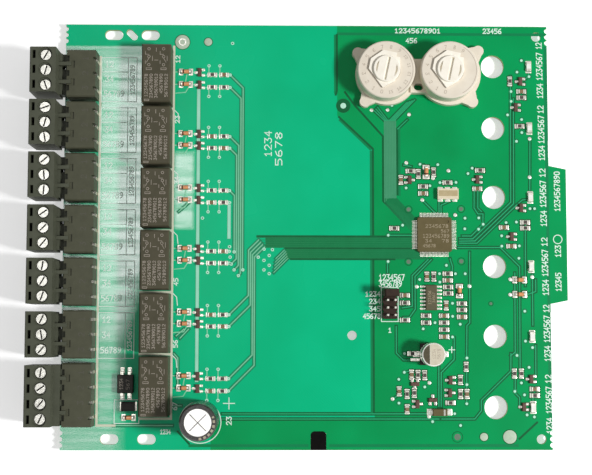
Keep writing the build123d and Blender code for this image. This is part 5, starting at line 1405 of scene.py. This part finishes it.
class AddSmallParts(bpy.types.Operator):
    """Chip bodies, round diodes, transistors and lamps"""
    bl_idname = "module.add_small_parts"
    bl_label = "Small parts"

    def execute(self, context):
        half_l, half_w = CHIP_L / 2 - CHIP_END + 0.02, CHIP_W / 2
        body = square_rings([(half_l, half_w - 0.03, 0.04, 0.03), (half_l, half_w, 0.05, 0.08),
                             (half_l, half_w, 0.05, CHIP_H - 0.07), (half_l, half_w - 0.07, 0.05, CHIP_H)], 2)
        film = square_rings([(half_l - 0.02, half_w - 0.1, 0.03, CHIP_H - 0.02),
                             (half_l - 0.04, half_w - 0.12, 0.03, CHIP_H + 0.02)], 2)
        places = np.array([(x, y, 0) for x, y, _ in CHIPS])
        turns = np.array([turn for _, _, turn in CHIPS])
        ceramic = (np.arange(len(CHIPS)) * 7) % 3 == 1
        capacitors = make_piece("ceramic_capacitors", loft(body, places[ceramic], turns[ceramic]), "titanate")
        resistors = make_piece("resistor_bodies", loft(body, places[~ceramic], turns[~ceramic]), "alumina")
        make_piece("resistor_films", loft(film, places[~ceramic], turns[~ceramic]), "overglaze")
        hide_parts("chip_components")
        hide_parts("chip_components")
        dress("tin", "component_ends")
        self.add_diodes()
        dress("epoxy_sot", "transistors")
        dress("tin", "transistor_leads", "power_leads", "capacitor_leads")
        dress("lamp", "indicator_leds")
        return {"FINISHED"}

    @staticmethod
    def add_diodes():
        """Glass drawn in at both studs: the radius falls with the sixth power of the share of the half
        length, with a dark band round one end."""
        half = MELF_L / 2 - MELF_END + 0.02
        share = np.linspace(-1, 1, 9)
        glass = lying_rings([(half * s, 0.72 - 0.06 * s ** 6) for s in share])
        start, end = 0.22 - half, 0.62 - half
        band = lying_rings([(start, 0.7), (start, 0.735), (end, 0.745), (end, 0.7)])
        places = [(x, y, 0) for x, y, _ in DIODES]
        turns = [turn for _, _, turn in DIODES]
        body = make_piece("diode_glass", loft(glass, places, turns), "amber", smooth=True)
        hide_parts("glass_diodes")
        make_piece("diode_bands", loft(band, places, turns), "band", smooth=True)


class DressCans(bpy.types.Operator):
    """Both electrolytic cans: sleeve stripe, printed top, base and marks"""
    bl_idname = "module.dress_cans"
    bl_label = "Capacitors"

    def execute(self, context):
        dress("aluminium", "main_capacitor", "small_capacitor")
        dress("sleeve", "main_capacitor_sleeve")
        dress("rubber", "small_capacitor_base")
        # The stripe is a curved plate: angle by height, standing just off the sleeve
        angle = np.radians(np.linspace(205, 245, 13))
        edge, face = SLEEVE_R + 0.02, SLEEVE_R + 0.06
        levels = ((edge, 1.6), (face, 1.7), (face, 20.0), (edge, 20.1))
        stripe = curved_plate(CAN_AT, angle, levels, SLEEVE_R - 0.05)
        make_piece("sleeve_stripe", stripe, "stripe", smooth=True)
        # Painted shadow lies along the bottoms of the scores in the can's top
        x, y = CAN_AT
        scores = [[(x - 2.6 * side, y - 2.6), (x + 2.6 * side, y + 2.6)] for side in (-1, 1)]
        strips("can_scores", scores, 0.28, CAN_TOP - 0.12, "can_mark", CAN_TOP - 0.17)
        x, y = SMALL_CAN_AT
        segment = arc(0, 0, SMALL_CAN_R, 112, 248, 25) + (x, y)
        rest = arc(0, 0, SMALL_CAN_R, -111, 111, 41) + (x, y)
        low, high = SMALL_CAN_TOP - 0.02, SMALL_CAN_TOP + 0.02
        make_piece("small_can_segment", plate(segment, low, high + 0.01), "dark_top")
        make_piece("small_can_print", plate(rest, low, high), "beige_top")
        marks = numerals(counting(4), x + 0.1, y + 0.2, 1.0, 90)
        marks += numerals(counting(4, 5), x + 1.7, y + 0.2, 1.0, 90)
        strips("small_can_marks", marks, 0.14, SMALL_CAN_TOP + 0.04, "numeral", SMALL_CAN_TOP)
        return {"FINISHED"}


class DressPower(bpy.types.Operator):
    """Rectifier, power diode and choke"""
    bl_idname = "module.dress_power"
    bl_label = "Power parts"

    def execute(self, context):
        dress("epoxy_black", "bridge_rectifier", "line_choke")
        dress("epoxy_brown", "power_diode")
        strips("rectifier_marks", labels(RECTIFIER_LABELS), 0.13, RECTIFIER_TOP + 0.02, "case_ink",
               RECTIFIER_TOP - 0.02)
        low, high = POWER_DIODE_TOP - 0.02, POWER_DIODE_TOP + 0.02
        band = square_rings([(0.3, 1.0, 0.02, low), (0.3, 1.0, 0.02, high)])
        make_piece("power_diode_band", loft(band, around(POWER_DIODE_AT, (1.5,))), "stripe")
        return {"FINISHED"}


class DressJumper(bpy.types.Operator):
    """Jumper block, its cap and pins"""
    bl_idname = "module.dress_jumper"
    bl_label = "Jumper"

    def execute(self, context):
        dress("jumper_plastic", "jumper_header", "jumper_cap")
        dress("tin", "jumper_pins")
        dress("brass", "jumper_clip")
        return {"FINISHED"}


# Stage, in metres of the frame
KEY_PLACE = Vector((0.549, -0.128, 0.656))
KEY_SIZE = 0.12
# Two panes of a window that only mirror in glossy faces: name, place, width and height
PANES = (("upper pane", (-0.126, 0.094, 0.62), 0.1, 0.24), ("lower pane", (-0.16, -0.125, 0.62), 0.08, 0.05))
EYE_PLACE = (-0.008891, -0.033112, 0.41834)
EYE_TURN = (0.0775756, -0.0164744, 0.0010562)
# The floor in millimetres: half its width, its corner, and how far its faces lie under the board
FLOOR_HALF = 1500
FLOOR_CORNER = 40
FLOOR_DEPTHS = (4.2, 2.05)
FLOOR_GLOW = 0.5


def add_lamp(name, place, wide, high, energy):
    """A flat lamp that faces down."""
    light = bpy.data.lights.new(name, "AREA")
    light.shape = "RECTANGLE"
    light.size, light.size_y = wide, high
    light.energy = energy
    lamp = bpy.data.objects.new(name, light)
    lamp.location = place
    bpy.context.scene.collection.objects.link(lamp)
    return lamp


def seen_directly(tree):
    """One where the camera, a reflection or a look through glass meets the surface, and nought elsewhere."""
    path = add_node(tree, "LightPath")
    camera, glossy = path.outputs["Is Camera Ray"], path.outputs["Is Glossy Ray"]
    seen = add_node(tree, "Math", camera, glossy, operation="MAXIMUM")
    return add_node(tree, "Math", seen, path.outputs["Is Transmission Ray"], operation="MAXIMUM")


class SetStage(bpy.types.Operator):
    """Pale floor, low key light from the right, soft window over the left side, and the camera"""
    bl_idname = "module.set_stage"
    bl_label = "Stage"

    def execute(self, context):
        scene = context.scene
        settings = scene.stage_settings
        scene.view_settings.view_transform = "Standard"
        self.add_floor()
        self.add_world(scene, settings.fill)
        key = add_lamp("key", KEY_PLACE, KEY_SIZE, KEY_SIZE, settings.key)
        key.rotation_euler = KEY_PLACE.to_track_quat("Z", "Y").to_euler()
        for name, place, wide, high in PANES:
            pane = add_lamp(name, place, wide, high, settings.window * math.pi * wide * high)
            pane.visible_diffuse = False
        camera = bpy.data.cameras.new("camera")
        camera.sensor_width = 36.0
        camera.sensor_fit = "HORIZONTAL"
        camera.lens = settings.lens
        camera.clip_start, camera.clip_end = 0.01, 20.0
        eye = bpy.data.objects.new("camera", camera)
        eye.location = EYE_PLACE
        eye.rotation_euler = EYE_TURN
        scene.collection.objects.link(eye)
        scene.camera = eye
        return {"FINISHED"}

    @staticmethod
    def add_floor():
        """A wide pale sheet just under the lowest pin, closed to a thin slab."""
        sections = [(FLOOR_HALF, FLOOR_HALF, FLOOR_CORNER, -BOARD_T - depth) for depth in FLOOR_DEPTHS]
        points, groups = loft(square_rings(sections, 4), [(0, 0, 0)])
        faces = [face for group in groups for face in group.tolist()]
        mesh = bpy.data.meshes.new("floor")
        mesh.from_pydata((points * MM + ORIGIN).tolist(), [], faces)
        floor = bpy.data.objects.new("floor", mesh)
        bpy.context.scene.collection.objects.link(floor)
        material, tree = new_material("pale studio sheet")
        sheet = add_node(tree, "BsdfPrincipled", Base_Color=linear("#EFEFEF"), Roughness=0.9)
        both = add_node(tree, "AddShader", sheet, add_node(tree, "Emission", Strength=FLOOR_GLOW))
        mixed = add_node(tree, "MixShader", seen_directly(tree), sheet, both)
        add_node(tree, "OutputMaterial", mixed)
        mesh.materials.append(material)

    @staticmethod
    def add_world(scene, strength):
        """White where the camera or a reflection looks, a plain even fill elsewhere."""
        world = bpy.data.worlds.new("studio")
        scene.world = world
        world.use_nodes = True
        tree = world.node_tree
        tree.nodes.clear()
        fill = add_node(tree, "Background", Color=linear("#FFFFFF"), Strength=strength)
        white = add_node(tree, "Background", Color=linear("#FFFFFF"), Strength=1.0)
        mixed = add_node(tree, "MixShader", seen_directly(tree), fill, white)
        add_node(tree, "OutputWorld", mixed)


# Panel and run
OPERATORS = (DressBoard, AddTracks, AddVias, AddPads, AddUnderside, AddPrint, DressBlocks, DressRelays,
             DressSwitches, DressChips, AddSmallParts, DressCans, DressPower, DressJumper, SetStage)
GROUPS = {"board_settings": BoardSettings, "switch_settings": SwitchSettings, "stage_settings": StageSettings}


class ModulePanel(bpy.types.Panel):
    """Lists the steps that dress the module, and their settings"""
    bl_idname = "VIEW3D_PT_control_module"
    bl_label = "Control module"
    bl_space_type = "VIEW_3D"
    bl_region_type = "UI"
    bl_category = "Control Module"

    def draw(self, context):
        for attribute, group in GROUPS.items():
            box = self.layout.box()
            for name in group.__annotations__:
                box.prop(getattr(context.scene, attribute), name)
        for operator in OPERATORS:
            self.layout.operator(operator.bl_idname)


def register():
    """Register every class and hang the settings on the scene."""
    for group in (*GROUPS.values(), *OPERATORS, ModulePanel):
        bpy.utils.register_class(group)
    for attribute, group in GROUPS.items():
        setattr(bpy.types.Scene, attribute, bpy.props.PointerProperty(type=group))


def unregister():
    """Take the settings and the classes away again."""
    for attribute in GROUPS:
        delattr(bpy.types.Scene, attribute)
    for group in (ModulePanel, *reversed(OPERATORS), *reversed(tuple(GROUPS.values()))):
        bpy.utils.unregister_class(group)


def main():
    """Run every step in order."""
    register()
    for operator in OPERATORS:
        area, name = operator.bl_idname.split(".")
        if getattr(getattr(bpy.ops, area), name)() != {"FINISHED"}:
            raise RuntimeError(f"{operator.bl_label} didn't finish")


if __name__ == "__main__":
    main()
